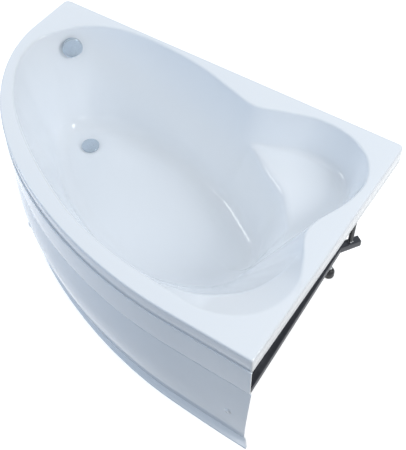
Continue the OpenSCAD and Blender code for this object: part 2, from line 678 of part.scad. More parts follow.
// Tabs beside the rails and the screws that hold the base board on them: [x, rail's y, side of the rail]
tab_size = 24;
tab_thickness = 3;
TABS = [[-cross_left + 110, -back_rail, -1], [-cross_middle - 120, -back_rail, -1],
    [-cross_left + 110, -front_rail, 1], [-cross_middle - 120, -front_rail, 1], [-cross_middle + 140, -front_rail, 1]];
function tab_centre(tab) = [tab[0], tab[1] + tab[2] * (tube + tab_size) / 2];
module at_tabs() {
    for (tab = TABS) place() translate([each tab_centre(tab), rail_top]) children();
}
module board_tabs() {
    color("dimgray") at_tabs() difference() {
        translate([-tab_size / 2, -tab_size / 2, -tab_thickness]) cube([tab_size, tab_size, tab_thickness]);
        translate([0, 0, -tab_thickness - 1]) cylinder(r = screw_radius + slip_gap, h = tab_thickness + 2);
    }
}
module board_screws() {
    color("silver") at_tabs() {
        translate([0, 0, -tab_thickness - 3]) cylinder(r = 2 * screw_radius, h = 3);
        translate([0, 0, -tab_thickness - 1]) cylinder(r = screw_radius, h = tab_thickness + 11);
    }
}

// Posts between the frame and the deck
block_radius = 14;
post_bottom = rail_top + nut_height;
strut_block_place = [-42, -66];
head_thickness = 4;
module post(p, top, top_radius) {
    place() translate([p[0], p[1], post_bottom]) difference() {
        cylinder(r1 = post_radius, r2 = top_radius, h = top - post_bottom);
        translate([0, 0, -1]) cylinder(r = stud_radius + slip_gap, h = 24);
    }
}
module rim_posts() {
    color("black") for (p = POSTS) post(p, block_top - block_height, post_top_radius - 1);
}
module corner_strut() { color("black") post(strut_place, strut_top, post_top_radius); }
module strut_head() {
    way = strut_block_place - strut_place;
    color("dimgray") place() translate([strut_place[0], strut_place[1], strut_top]) rotate(atan2(way[1], way[0]))
        union() {
            cylinder(r = post_top_radius, h = head_thickness);
            translate([0, -post_top_radius, 0]) cube([norm(way), 2 * post_top_radius, head_thickness]);
            translate([norm(way), 0, 0]) cylinder(r = post_top_radius, h = head_thickness);
        }
}
module post_studs() {
    color("silver") for (p = concat([strut_place], POSTS))
        place() translate([p[0], p[1], rail_bottom - nut_height - 4])
            cylinder(r = stud_radius, h = post_bottom + 20 - rail_bottom + nut_height + 4);
}
module post_nuts() {
    color("silver") for (p = concat([strut_place], POSTS), z = [rail_bottom - nut_height, rail_top])
        place() translate([p[0], p[1], z]) hex_nut(stud_radius + slip_gap);
}
module rim_blocks() {
    color("black") for (p = POSTS) place() translate([p[0], p[1], block_top - block_height])
        cylinder(r = block_radius, h = block_height);
    color("black") place() translate([strut_block_place[0], strut_block_place[1], strut_top + head_thickness])
        cylinder(r = block_radius, h = block_top - strut_top - head_thickness);
}

// Levelling feet: a domed foot on a threaded stud that screws up and down in its rail
dome_base = pad_height - 4 - pad_radius;
stud_start = 28;
hex_height = 8;
module foot_nuts() {
    color("silver") for (p = FEET) place() translate([p[0], p[1], rail_bottom - nut_height])
        hex_nut(stud_radius + running_gap);
}
module foot(i) {
    color("black") place() translate([FEET[i][0], FEET[i][1], 0]) difference() {
        union() {
            cylinder(r = pad_radius, h = dome_base);
            translate([0, 0, dome_base]) intersection() {
                sphere(r = pad_radius);
                cylinder(r = pad_radius + 1, h = pad_radius + 1);
            }
            cylinder(r = stud_radius + 4, h = pad_height);
        }
        translate([0, 0, stud_start]) cylinder(r = stud_radius + slip_gap, h = pad_height);
    }
}
module foot_stud(i) {
    color("silver") place() translate([FEET[i][0], FEET[i][1], 0]) {
        translate([0, 0, stud_start]) cylinder(r = stud_radius, h = rail_top + stud_above - stud_start);
        translate([0, 0, pad_height]) cylinder(d = nut_width, h = hex_height, $fn = 6);
    }
}
module foot_1() { foot(0); }
module foot_2() { foot(1); }
module foot_3() { foot(2); }
module foot_4() { foot(3); }
module foot_5() { foot(4); }
module foot_6() { foot(5); }
module foot_stud_1() { foot_stud(0); }
module foot_stud_2() { foot_stud(1); }
module foot_stud_3() { foot_stud(2); }
module foot_stud_4() { foot_stud(3); }
module foot_stud_5() { foot_stud(4); }
module foot_stud_6() { foot_stud(5); }

// Waste: a flange screwed down into the body through the shell, with a plug that the cable lifts
flange_radius = 35;
flange_thickness = 2.5;
sleeve_inner = 19;
sleeve_radius = waste_bore - seat_gap;
sleeve_bottom = floor_under - 24;
body_radius = 32;
body_wall = 4;
gasket_thickness = 3;
body_top = floor_under - gasket_thickness;
body_height = 48;
body_bottom = body_top - body_height;
inlet_level = body_bottom + 16;
stem_radius = 4;
hub_radius = 7;
hub_height = 8;
plug_gap = 2.8;
boss_radius = 7;
cable_radius = 2.5;
tail_radius = 24;
tail_wall = 3;
tail_length = 22;
trap_depth = 44;
trap_top = body_bottom - tail_length;
trap_bottom = trap_top - trap_depth;
trap_radius = 44;
trap_wall = 3;
outlet_level = (trap_top + trap_bottom) / 2;
module waste_flange() {
    color("silver") at_drain() union() {
        translate([0, 0, floor_top]) ring(flange_radius, sleeve_inner, flange_thickness);
        translate([0, 0, sleeve_bottom]) ring(sleeve_radius, sleeve_inner, floor_top + 1 - sleeve_bottom);
        translate([0, 0, sleeve_bottom]) ring(hub_radius, stem_radius + running_gap, hub_height);
        for (a = [0:120:240]) translate([0, 0, sleeve_bottom]) rotate(a) translate([hub_radius - 1, -1.5, 0])
            cube([sleeve_inner - hub_radius + 2, 3, 5]);
    }
}
module waste_gasket() {
    color("black") at_drain() translate([0, 0, body_top]) ring(body_radius, waste_bore + 1, gasket_thickness);
}
// Frame of the overflow branch: at the drain's axis, +X points to the overflow pipe
knob_body_depth = 30;
branch_foot = [overflow_point[0], overflow_point[1]]
    - knob_body_depth * [overflow_normal[0], overflow_normal[1]];
branch_way = branch_foot - drain;
branch_length = norm(branch_way);
branch_angle = atan2(branch_way[1], branch_way[0]);
cable_side = 22;
socket_depth = 20;
socket_length = 30;
cable_socket = 24;
cable_seat = 14;
module on_branch() { at_drain() rotate(branch_angle) children(); }
module waste_body() {
    socket_end = body_radius + socket_length;
    color("dimgray") difference() {
        union() {
            at_drain() translate([0, 0, body_bottom]) cylinder(r = body_radius, h = body_top - body_bottom);
            at_drain() translate([0, 0, trap_top - 16]) cylinder(r = tail_radius, h = body_bottom - trap_top + 17);
            on_branch() translate([0, 0, inlet_level]) along_x(0, socket_end, pipe_radius + 3);
            on_branch() translate([0, cable_side, inlet_level])
                along_x(0, body_radius + cable_socket, boss_radius);
        }
        at_drain() translate([0, 0, body_top - 10]) cylinder(r = sleeve_radius + slip_gap, h = 12);
        at_drain() translate([0, 0, body_bottom + body_wall])
            cylinder(r = body_radius - body_wall, h = body_top - 10 - body_bottom - body_wall + 0.01);
        at_drain() translate([0, 0, trap_top - 17])
            cylinder(r = tail_radius - tail_wall, h = body_bottom + body_wall + 18 - trap_top);
        on_branch() translate([0, 0, inlet_level]) along_x(0, socket_end + 1, pipe_radius - 2);
        on_branch() translate([0, 0, inlet_level])
            along_x(socket_end - socket_depth, socket_end + 1, pipe_radius + slip_gap);
        on_branch() translate([0, cable_side, inlet_level])
            along_x(body_radius + cable_socket - cable_seat, socket_end, cable_radius + slip_gap);
    }
}
plug_bottom = floor_top + flange_thickness + plug_gap;
module plug() {
    stem_bottom = sleeve_bottom - 4;
    color("silver") at_drain() union() {
        translate([0, 0, plug_bottom]) rotate_extrude() polygon([[0, 0], [plug_radius - 2, 0], [plug_radius, 1.5],
            [plug_radius, plug_thickness - 1.5], [plug_radius - 1.5, plug_thickness], [0, plug_thickness + 0.8]]);
        translate([0, 0, stem_bottom]) cylinder(r = stem_radius, h = plug_bottom + 1 - stem_bottom);
    }
}
module plug_seal() {
    color("black") at_drain() translate([0, 0, plug_bottom - plug_gap + seat_gap])
        ring(sleeve_inner + 8, sleeve_inner + 3, plug_gap - seat_gap);
}

// Overflow: a plate in the shell's pocket, the knob on its spindle, and the body clamped behind the boss
spindle_radius = 6;
plate_thickness = 4;
knob_gap = 3;
overflow_gasket_thickness = 3;
overflow_body_radius = 33;
overflow_body_depth = 34;
body_face = -boss_depth - overflow_gasket_thickness;
module overflow_plate() {
    color("silver") at_overflow() difference() {
        union() {
            translate([0, 0, -pocket_depth]) cylinder(r = pocket_radius - seat_gap, h = plate_thickness);
            translate([0, 0, body_face + 1]) cylinder(r = overflow_bore - seat_gap, h = -body_face - 1);
        }
        translate([0, 0, body_face]) cylinder(r = overflow_bore - 3, h = -body_face - 3);
        translate([0, 0, -20]) cylinder(r = spindle_radius + running_gap, h = 40);
        for (a = [0:60:300]) rotate(a) translate([overflow_bore - 8, 0, -5]) cylinder(r = 3, h = 20);
    }
}
module overflow_gasket() {
    color("black") at_overflow() translate([0, 0, body_face])
        ring(overflow_body_radius, overflow_bore + 1, overflow_gasket_thickness);
}
pipe_drop = 49;
cable_drop = 61;
pipe_top = overflow_point[2] - pipe_drop;
cable_top = overflow_point[2] - cable_drop;
module overflow_body() {
    color("dimgray") difference() {
        union() {
            at_overflow() translate([0, 0, body_face - overflow_body_depth])
                cylinder(r = overflow_body_radius, h = overflow_body_depth);
            on_branch() translate([branch_length, 0, pipe_top - socket_depth])
                cylinder(r = pipe_radius + 3, h = 60);
            on_branch() translate([branch_length, cable_side, cable_top - cable_seat])
                cylinder(r = boss_radius, h = 50);
        }
        at_overflow() translate([0, 0, body_face - overflow_body_depth + body_wall])
            cylinder(r = overflow_body_radius - body_wall, h = overflow_body_depth);
        on_branch() translate([branch_length, 0, pipe_top - socket_depth - 1]) cylinder(r = pipe_radius - 2, h = 50);
        on_branch() translate([branch_length, 0, pipe_top - socket_depth - 1])
            cylinder(r = pipe_radius + slip_gap, h = socket_depth + 1);
        on_branch() translate([branch_length, cable_side, cable_top - cable_seat - 1])
            cylinder(r = cable_radius + slip_gap, h = cable_seat + 1);
    }
}
knob_base = plate_thickness - pocket_depth + knob_gap;
notch_angle = 15;
notch_depth = 7;
knob_flange = 5;
knob_dish = 1.5;
module overflow_knob() {
    color("silver") at_overflow() difference() {
        union() {
            translate([0, 0, knob_base]) rotate_extrude() polygon([[0, 0], [knob_radius - 5, 0], [knob_radius, 2],
                [knob_radius, knob_thickness - 3], [knob_radius - 3, knob_thickness],
                [knob_radius - 7, knob_thickness], [0, knob_thickness - knob_dish]]);
            translate([0, 0, body_face - 16])
                cylinder(r = spindle_radius, h = knob_base + 1 - body_face + 16);
        }
        rotate(notch_angle) translate([knob_radius - notch_depth, -knob_radius, knob_base + knob_flange])
            cube([knob_radius, 2 * knob_radius, knob_thickness]);
    }
}

// Round bar that comes down, bends and runs level back along -X
module down_and_back(r, top, low, bend, reach) {
    translate([0, 0, low + bend]) cylinder(r = r, h = top - low - bend);
    translate([-bend, 0, low + bend]) rotate([90, 0, 0]) rotate(270) rotate_extrude(angle = 90)
        translate([bend, 0]) circle(r = r);
    translate([0, 0, low]) along_x(-reach, -bend, r);
}
pipe_wall = 2;
pipe_bend = 40;
module overflow_pipe() {
    reach = branch_length - body_radius - socket_length + socket_depth;
    color("gainsboro") on_branch() translate([branch_length, 0, 0]) difference() {
        down_and_back(pipe_radius, pipe_top, inlet_level, pipe_bend, reach);
        down_and_back(pipe_radius - pipe_wall, pipe_top + 1, inlet_level, pipe_bend, reach + 1);
    }
}
module pull_cable() {
    reach = branch_length - body_radius - cable_socket + cable_seat;
    color("black") on_branch() translate([branch_length, cable_side, 0])
        down_and_back(cable_radius, cable_top, inlet_level, pipe_bend, reach);
}

// Trap under the waste and the outlet towards the long wall
module trap_nut() {
    color("dimgray") at_drain() translate([0, 0, trap_top]) difference() {
        cylinder(r = tail_radius + 9, h = 16);
        translate([0, 0, -1]) cylinder(r = tail_radius + slip_gap, h = 18);
        for (a = [0:30:330]) rotate(a) translate([tail_radius + 10.5, 0, -1]) cylinder(r = 3, h = 18);
    }
}
module trap_body() {
    spout = trap_radius + 26;
    color("dimgray") at_drain() difference() {
        union() {
            translate([0, 0, trap_bottom]) cylinder(r = trap_radius, h = trap_top - trap_bottom);
            translate([0, 0, outlet_level]) rotate([-90, 0, 0]) cylinder(r = outlet_radius + 2, h = spout);
        }
        translate([0, 0, trap_bottom + trap_wall])
            cylinder(r = trap_radius - trap_wall, h = trap_top - trap_bottom - 2 * trap_wall);
        translate([0, 0, trap_bottom + trap_wall]) cylinder(r = tail_radius + slip_gap, h = 60);
        translate([0, 0, outlet_level]) rotate([-90, 0, 0]) cylinder(r = outlet_radius - 3, h = spout + 1);
        translate([0, trap_radius + 4, outlet_level]) rotate([-90, 0, 0])
            cylinder(r = outlet_radius + slip_gap, h = 30);
    }
}
outlet_end = -20;
outlet_wall = 2.5;
spigot_length = 30;
collar_length = 4;
module outlet_pipe() {
    start = drain[1] + trap_radius + 4;
    collar_start = outlet_end - spigot_length - collar_length - start;
    color("gainsboro") place() translate([drain[0], start, outlet_level]) rotate([-90, 0, 0]) difference() {
        union() {
            cylinder(r = outlet_radius, h = outlet_end - start);
            translate([0, 0, collar_start]) cylinder(r = outlet_radius + 3, h = collar_length);
        }
        translate([0, 0, -1]) cylinder(r = outlet_radius - outlet_wall, h = outlet_end - start + 2);
    }
}

bath_shell();
base_board();
front_panel();
panel_caps();
panel_screws();
panel_bracket_right();
panel_bracket_left();
cross_rail_left();
cross_rail_middle();
back_rail_left();
back_rail_right();
front_rail_left();
front_rail_right();
side_rail();
diagonal_rail();
corner_arm();
tube_caps();
board_tabs();
board_screws();
rim_posts();
corner_strut();
strut_head();
post_studs();
post_nuts();
rim_blocks();
foot_nuts();
foot_1();
foot_2();
foot_3();
foot_4();
foot_5();
foot_6();
foot_stud_1();
foot_stud_2();
foot_stud_3();
foot_stud_4();
foot_stud_5();
foot_stud_6();
waste_flange();
waste_gasket();
waste_body();
plug();
plug_seal();
overflow_plate();
overflow_gasket();
overflow_body();
overflow_knob();
overflow_pipe();
pull_cable();
trap_nut();
trap_body();
outlet_pipe();
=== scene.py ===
"""Looks of a corner bathtub: acrylic shell, front panel, steel frame, feet, waste set, studio and camera.

All sizes in the classes are millimetres in the drafting frame of the part, whose zero is the rim's wall corner on
the floor. BathPlan.place turns them into metres in the shared frame. Numbers inside a section or profile list are
the small steps of one edge and belong to that list alone.
"""
from __future__ import annotations

import logging
import math
from dataclasses import dataclass
from enum import Enum
from typing import Callable, Sequence

import bmesh
import bpy
import numpy as np
from mathutils import Matrix, Vector

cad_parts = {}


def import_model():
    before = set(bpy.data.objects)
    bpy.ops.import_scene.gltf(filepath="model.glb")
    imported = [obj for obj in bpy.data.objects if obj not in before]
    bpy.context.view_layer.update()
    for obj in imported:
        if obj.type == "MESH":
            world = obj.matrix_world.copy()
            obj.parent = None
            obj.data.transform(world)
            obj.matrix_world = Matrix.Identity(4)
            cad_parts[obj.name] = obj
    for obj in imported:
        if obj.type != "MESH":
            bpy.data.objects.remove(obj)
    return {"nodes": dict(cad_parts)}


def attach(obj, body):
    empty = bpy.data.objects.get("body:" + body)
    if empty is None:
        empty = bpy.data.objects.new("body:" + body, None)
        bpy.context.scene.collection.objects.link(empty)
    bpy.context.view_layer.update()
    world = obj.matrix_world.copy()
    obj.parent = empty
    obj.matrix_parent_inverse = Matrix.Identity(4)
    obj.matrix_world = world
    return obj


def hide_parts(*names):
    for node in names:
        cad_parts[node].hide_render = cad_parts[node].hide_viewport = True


LOG = logging.getLogger("bathtub")
MM = 0.001
TINY = 1e-6
SHARP = math.radians(35)
ROOT = "bath"
FOOT_BODIES = {f"foot_{i}": f"foot_{i}_body" for i in range(1, 7)}
BOX_FACES = ((3, 2, 1, 0), (4, 5, 6, 7), (0, 1, 5, 4), (1, 2, 6, 5), (2, 3, 7, 6), (3, 0, 4, 7))
ADD, CUT = "UNION", "DIFFERENCE"
Plane = np.ndarray
Color = tuple[float, float, float]
Loop = list[tuple[float, float, float]]


class Slot(Enum):
    """Material slots of the record."""

    ACRYLIC = "white_acrylic"
    CAP = "white_plastic"
    BOARD = "board"
    FRAME = "frame_steel"
    POST = "post_black"
    RUBBER = "rubber_black"
    BLACK = "black_plastic"
    ZINC = "zinc_steel"
    CHROME = "chrome"
    GREY = "grey_plastic"
    PIPE = "pipe_plastic"
    CABLE = "cable_black"


class Value:
    """A node socket that takes part in Python arithmetic."""

    def __init__(self, tree: bpy.types.NodeTree, socket: bpy.types.NodeSocket) -> None:
        """Wraps an output socket of a node tree."""
        self.tree = tree
        self.socket = socket

    def _math(self, operation: str, *values: Value | float) -> Value:
        """Adds one Math node.

        Args:
            operation: The node's operation.
            values: Operands.

        Returns:
            The node's output.
        """
        node = self.tree.nodes.new("ShaderNodeMath")
        node.operation = operation
        for socket, value in zip(node.inputs, values):
            connect(self.tree, socket, value)
        return Value(self.tree, node.outputs[0])

    def __add__(self, other: Value | float) -> Value:
        """Adds."""
        return self._math("ADD", self, other)

    def __sub__(self, other: Value | float) -> Value:
        """Subtracts other."""
        return self._math("SUBTRACT", self, other)

    def __rsub__(self, other: float) -> Value:
        """Subtracts this from a number."""
        return self._math("SUBTRACT", other, self)

    def __mul__(self, other: Value | float) -> Value:
        """Multiplies."""
        return self._math("MULTIPLY", self, other)

    def __truediv__(self, other: Value | float) -> Value:
        """Divides by other."""
        return self._math("DIVIDE", self, other)

    __radd__, __rmul__ = __add__, __mul__

    def step(self, low: float, high: float) -> Value:
        """Smooth step.

        Args:
            low: Where it starts to rise from 0.
            high: Where it reaches 1.

        Returns:
            The step.
        """
        t = self._math("MAXIMUM", (self - low) * (1.0 / (high - low)), 0.0)
        t = self._math("MINIMUM", t, 1.0)
        return t * t * (3.0 - 2.0 * t)


def connect(tree: bpy.types.NodeTree, socket: bpy.types.NodeSocket, value: object) -> None:
    """Links an input to another socket, or sets it.

    Args:
        tree: Node tree of the input.
        socket: The input.
        value: Output socket, wrapped or not, or plain value.
    """
    source = value.socket if isinstance(value, Value) else value
    if isinstance(source, bpy.types.NodeSocket):
        tree.links.new(source, socket)
    else:
        socket.default_value = source


class Wiring:
    """A node tree that is filled by the names of nodes and inputs."""

    def __init__(self, tree: bpy.types.NodeTree) -> None:
        """Keeps the tree."""
        self.tree = tree

    def node(self, kind: str, settings: dict[str, object] | None = None, **inputs: object) -> bpy.types.Node:
        """Adds a node.

        Args:
            kind: The node's type name.
            settings: Attributes that are set first.
            inputs: Values or sockets by input name, with underscores for spaces.

        Returns:
            The node.
        """
        node = self.tree.nodes.new(kind)
        for key, value in (settings or {}).items():
            setattr(node, key, value)
        self.put(node, **inputs)
        return node

    def put(self, node: bpy.types.Node, **inputs: object) -> None:
        """Fills inputs of a node by name, with underscores for spaces."""
        for key, value in inputs.items():
            connect(self.tree, next(s for s in node.inputs if s.name == key.replace("_", " ") and s.enabled), value)


class Painter(Wiring):
    """Builds the node tree of one material."""

    def __init__(self, name: str) -> None:
        """Starts a material with a Principled shader.

        Args:
            name: The material's name.
        """
        self.material = bpy.data.materials.new(name)
        self.material.use_nodes = True
        super().__init__(self.material.node_tree)
        self.shader = next(n for n in self.tree.nodes if n.type == "BSDF_PRINCIPLED")

    def texture(self, kind: str, output: str, stretch: Sequence[float] | None, **inputs: float) -> Value:
        """Texture in Object coordinates.

        Args:
            kind: Short type name of the texture node.
            output: Name of its output.
            stretch: Scale of the coordinates for each axis.
            inputs: Values by input name.

        Returns:
            The output.
        """
        at = self.node("ShaderNodeTexCoord").outputs["Object"]
        if stretch:
            at = self.node("ShaderNodeMapping", Vector=at, Scale=stretch).outputs[0]
        return Value(self.tree, self.node(f"ShaderNodeTex{kind}", Vector=at, **inputs).outputs[output])

    def noise(self, scale: float, detail: float = 3.0, roughness: float = 0.5,
              stretch: Sequence[float] | None = None) -> Value:
        """Noise texture.

        Args:
            scale: Waves per metre, roughly.
            detail: Octaves.
            roughness: Strength of the finer octaves.
            stretch: Scale of the coordinates for each axis.

        Returns:
            Noise about 0.5.
        """
        return self.texture("Noise", "Fac", stretch, Scale=scale, Detail=detail, Roughness=roughness)

    def cells(self, scale: float, stretch: Sequence[float] | None = None) -> Value:
        """Distance to the nearest point of a random cell pattern."""
        return self.texture("Voronoi", "Distance", stretch, Scale=scale)

    def mix(self, factor: Value, low: Color, high: Color) -> bpy.types.NodeSocket:
        """Colour between two others.

        Args:
            factor: Share of the second.
            low: Colour at 0.
            high: Colour at 1.

        Returns:
            The colour's socket.
        """
        node = self.node("ShaderNodeMix", {"data_type": "RGBA"})
        for index, value in ((0, factor), (6, (*low, 1.0)), (7, (*high, 1.0))):
            connect(self.tree, node.inputs[index], value)
        return node.outputs[2]

    def bump(self, height: Value, strength: float, distance: float) -> None:
        """Feeds a height to the shader's normal through a Bump node."""
        made = self.node("ShaderNodeBump", Strength=strength, Distance=distance, Height=height)
        self.put(self.shader, Normal=made.outputs[0])


@dataclass(frozen=True)
class Finish:
    """A finish that drifts between two close colours; tone, turn, gain and relief say how."""

    name: str
    color: Color
    other: Color
    roughness: float
    tone: tuple[float, ...] = (14.0, 3.0)
    turn: tuple[float, float] = (0.35, 0.7)
    gain: float = 0.12
    relief: tuple[float, ...] = (600.0, 2.0)
    strength: float = 0.2
    distance: float = 0.0004
    metallic: float = 0.0

    def build(self) -> bpy.types.Material:
        """Builds this finish.

        Returns:
            The material.
        """
        painter = Painter(self.name)
        self.paint(painter)
        return painter.material

    def tint(self, p: Painter, tone: Value) -> bpy.types.NodeSocket:
        """Colour that turns from one to the other with the tone."""
        return p.mix(tone.step(*self.turn), self.color, self.other)

    def texture(self, p: Painter) -> Value:
        """Height of the fine texture."""
        return p.noise(*self.relief)

    def paint(self, p: Painter) -> None:
        """Adds this finish's nodes to the painter.

        Args:
            p: Painter of the material.
        """
        tone = p.noise(*self.tone)
        p.put(p.shader, Base_Color=self.tint(p, tone), Metallic=self.metallic,
              Roughness=self.roughness + self.gain * tone)
        p.bump(self.texture(p), self.strength, self.distance)


@dataclass(frozen=True)
class Acrylic(Finish):
    """Glossy sanitary acrylic: faint thermoforming waves, fine haze and a clear top gloss."""

    tone: tuple[float, ...] = (2.2, 2.0)
    turn: tuple[float, float] = (0.35, 0.65)
    gain: float = 0.05
    haze: tuple[float, ...] = (60.0, 4.0)
    relief: tuple[float, ...] = (9.0, 1.0)
    pebble: tuple[float, ...] = (140.0, 1.0)
    pebble_share: float = 0.08
    strength: float = 0.05
    distance: float = 0.002

    def paint(self, p: Painter) -> None:
        """Cool white with drifting gloss.

        Args:
            p: Painter of the material.
        """
        p.put(p.shader, Base_Color=self.tint(p, p.noise(*self.tone)), IOR=1.49, Coat_Weight=0.25, Coat_Roughness=0.03,
              Roughness=self.roughness + self.gain * p.noise(*self.haze))
        p.bump(p.noise(*self.relief) + self.pebble_share * p.noise(*self.pebble), self.strength, self.distance)


@dataclass(frozen=True)
class GlassFibre(Finish):
    """Sprayed resin and chopped glass strands on the hidden side of the shell."""

    tone: tuple[float, ...] = (90.0, 4.0, 0.65)
    turn: tuple[float, float] = (0.4, 0.6)
    strands: tuple[tuple[float, ...], ...] = ((1.0, 6.0, 2.0), (5.0, 1.0, 3.0))
    gain: float = 0.25
    relief: tuple[float, ...] = (18.0, 2.0)
    relief_share: float = 0.5
    strength: float = 0.5
    distance: float = 0.002

    def paint(self, p: Painter) -> None:
        """Matted strands in two directions under a wet resin coat.

        Args:
            p: Painter of the material.
        """
        one, two = (p.noise(*self.tone, stretch) for stretch in self.strands)
        matted = (one + two) * 0.5
        p.put(p.shader, Base_Color=self.tint(p, matted), Roughness=self.roughness + self.gain * matted)
        p.bump(matted + self.relief_share * p.noise(*self.relief), self.strength, self.distance)


@dataclass(frozen=True)
class PowderCoat(Finish):
    """Thermoset powder on steel: fine orange peel, a few scuffs and dust in the roughness."""

    tone: tuple[float, ...] = (7.0, 6.0, 0.7)
    turn: tuple[float, float] = (0.52, 0.72)
    gain: float = 0.14
    relief: tuple[float, ...] = (900.0, 1.0)
    strength: float = 0.16


@dataclass(frozen=True)
class Zinc(Finish):
    """Bright zinc plate with drawn lines and dull patches."""

    tone: tuple[float, ...] = (45.0, 4.0)
    gain: float = 0.1
    lines: tuple[float | tuple[float, ...], ...] = (500.0, 3.0, 0.6, (1.0, 1.0, 0.06))
    lines_gain: float = 0.18
    strength: float = 0.12
    distance: float = 0.0003
    metallic: float = 1.0

    def paint(self, p: Painter) -> None:
        """Metal with brushed streaks.

        Args:
            p: Painter of the material.
        """
        lines, patch = p.noise(*self.lines), p.noise(*self.tone)
        p.put(p.shader, Base_Color=self.tint(p, patch), Metallic=self.metallic,
              Roughness=self.roughness + self.lines_gain * lines + self.gain * patch)
        p.bump(lines, self.strength, self.distance)


@dataclass(frozen=True)
class Chrome(Finish):
    """Satin chrome of the knob and plug: soft mirror with water haze."""

    tone: tuple[float, ...] = (70.0, 5.0, 0.6)
    turn: tuple[float, float] = (0.3, 0.75)
    gain: float = 0.1
    relief: tuple[float, ...] = (30.0, 2.0)
    strength: float = 0.03
    distance: float = 0.0008
    metallic: float = 1.0


@dataclass(frozen=True)
class Moulded(Finish):
    """Moulded plastic with spark-eroded grain and slight flow marks."""

    def texture(self, p: Painter) -> Value:
        """Grain in cells."""
        return p.cells(1400.0)


@dataclass(frozen=True)
class Rubber(Finish):
    """Soft black rubber with pale bloom."""

    tone: tuple[float, ...] = (55.0, 5.0, 0.65)
    turn: tuple[float, float] = (0.45, 0.8)
    gain: float = 0.15


@dataclass(frozen=True)
class ChipBoard(Finish):
    """Pressed board with flakes of several tones."""

    tone: tuple[float, ...] = (420.0, 4.0, 0.7)
    turn: tuple[float, float] = (0.25, 0.75)
    gain: float = 0.1
    flakes: tuple[float | tuple[float, ...], ...] = (130.0, (1.0, 2.4, 1.0))
    shares: tuple[float, float] = (0.65, 0.5)
    strength: float = 0.3
    distance: float = 0.0006

    def paint(self, p: Painter) -> None:
        """Flakes from two patterns over a brown base.

        Args:
            p: Painter of the material.
        """
        flakes, fine = p.cells(*self.flakes), p.noise(*self.tone)
        p.put(p.shader, Base_Color=self.tint(p, self.shares[0] * flakes + self.shares[1] * fine),
              Roughness=self.roughness + self.gain * fine)
        p.bump(flakes + fine, self.strength, self.distance)


class FinishBook:
    """All materials of the part, by record slot."""

    def __init__(self) -> None:
        """Builds each finish once."""
        finishes: dict[Slot, Finish] = {
            Slot.ACRYLIC: Acrylic("gloss_acrylic", (0.872, 0.908, 0.948), (0.879, 0.913, 0.951), 0.10),
            Slot.CAP: Acrylic("gloss_cap", (0.89, 0.91, 0.935), (0.9, 0.918, 0.94), 0.14, strength=0.02),
            Slot.BOARD: ChipBoard("pressed_board", (0.42, 0.29, 0.17), (0.66, 0.5, 0.33), 0.7),
            Slot.FRAME: PowderCoat("charcoal_powder", (0.05, 0.053, 0.064), (0.075, 0.078, 0.09), 0.38),
            Slot.POST: PowderCoat("black_powder", (0.018, 0.018, 0.021), (0.032, 0.032, 0.036), 0.34),
            Slot.RUBBER: Rubber("black_rubber", (0.012, 0.012, 0.012), (0.035, 0.035, 0.034), 0.62),
            Slot.BLACK: Moulded("black_moulding", (0.016, 0.016, 0.018), (0.026, 0.026, 0.029), 0.36),
            Slot.ZINC: Zinc("bright_zinc", (0.74, 0.75, 0.77), (0.6, 0.61, 0.62), 0.2),
            Slot.CHROME: Chrome("satin_chrome", (0.62, 0.69, 0.76), (0.58, 0.65, 0.72), 0.2),
            Slot.GREY: Moulded("grey_moulding", (0.3, 0.31, 0.33), (0.34, 0.35, 0.37), 0.45),
            Slot.PIPE: Moulded("pale_pipe", (0.72, 0.73, 0.74), (0.77, 0.78, 0.79), 0.3, strength=0.1),
            Slot.CABLE: Moulded("cable_sheath", (0.015, 0.015, 0.016), (0.024, 0.024, 0.026), 0.4, strength=0.1),
        }
        self.materials = {slot: finish.build() for slot, finish in finishes.items()}
        self.fibre = GlassFibre("glass_fibre_back", (0.78, 0.8, 0.76), (0.6, 0.63, 0.58), 0.42).build()


def linked(name: str, data: bpy.types.ID) -> bpy.types.Object:
    """Object of a mesh, lamp or camera in the scene.

    Args:
        name: Object name.
        data: The mesh, lamp or camera.

    Returns:
        The object.
    """
    made = bpy.data.objects.new(name, data)
    bpy.context.scene.collection.objects.link(made)
    return made


def unit(vector: Plane) -> Plane:
    """Vector of length 1 along vector."""
    return vector / np.linalg.norm(vector)


def toward(degrees: float) -> Plane:
    """Vector of length 1 in a direction of the plan."""
    return np.array([math.cos(math.radians(degrees)), math.sin(math.radians(degrees))])


def smooth_curve(points: Plane, u: float) -> Plane:
    """Point of the closed smooth curve through points.

    Args:
        points: The points, in order.
        u: Index of a point, with a fraction for places between two.

    Returns:
        The point.
    """
    index = math.floor(u)
    t = u - index
    a, b, c, d = (points[(index + step) % len(points)] for step in (-1, 0, 1, 2))
    return (2 * b + (c - a) * t + (2 * a - 5 * b + 4 * c - d) * t**2 + (3 * b - a - 3 * c + d) * t**3) / 2


def bezier(ends: Sequence[Plane], steps: int) -> list[Plane]:
    """Bézier curve with any number of control points.

    Args:
        ends: Control points.
        steps: Number of equal steps.

    Returns:
        The curve's points.
    """
    n = len(ends) - 1
    return [sum(math.comb(n, k) * (1 - t) ** (n - k) * t**k * p for k, p in enumerate(ends))
            for t in np.linspace(0, 1, steps + 1)]


def rounding(a: Plane, b: Plane, c: Plane, reach: float, steps: int) -> list[Plane]:
    """Rounded corner at b between a and c, which takes the reach from both legs."""
    return bezier([b + reach * unit(a - b), b, b + reach * unit(c - b)], steps)


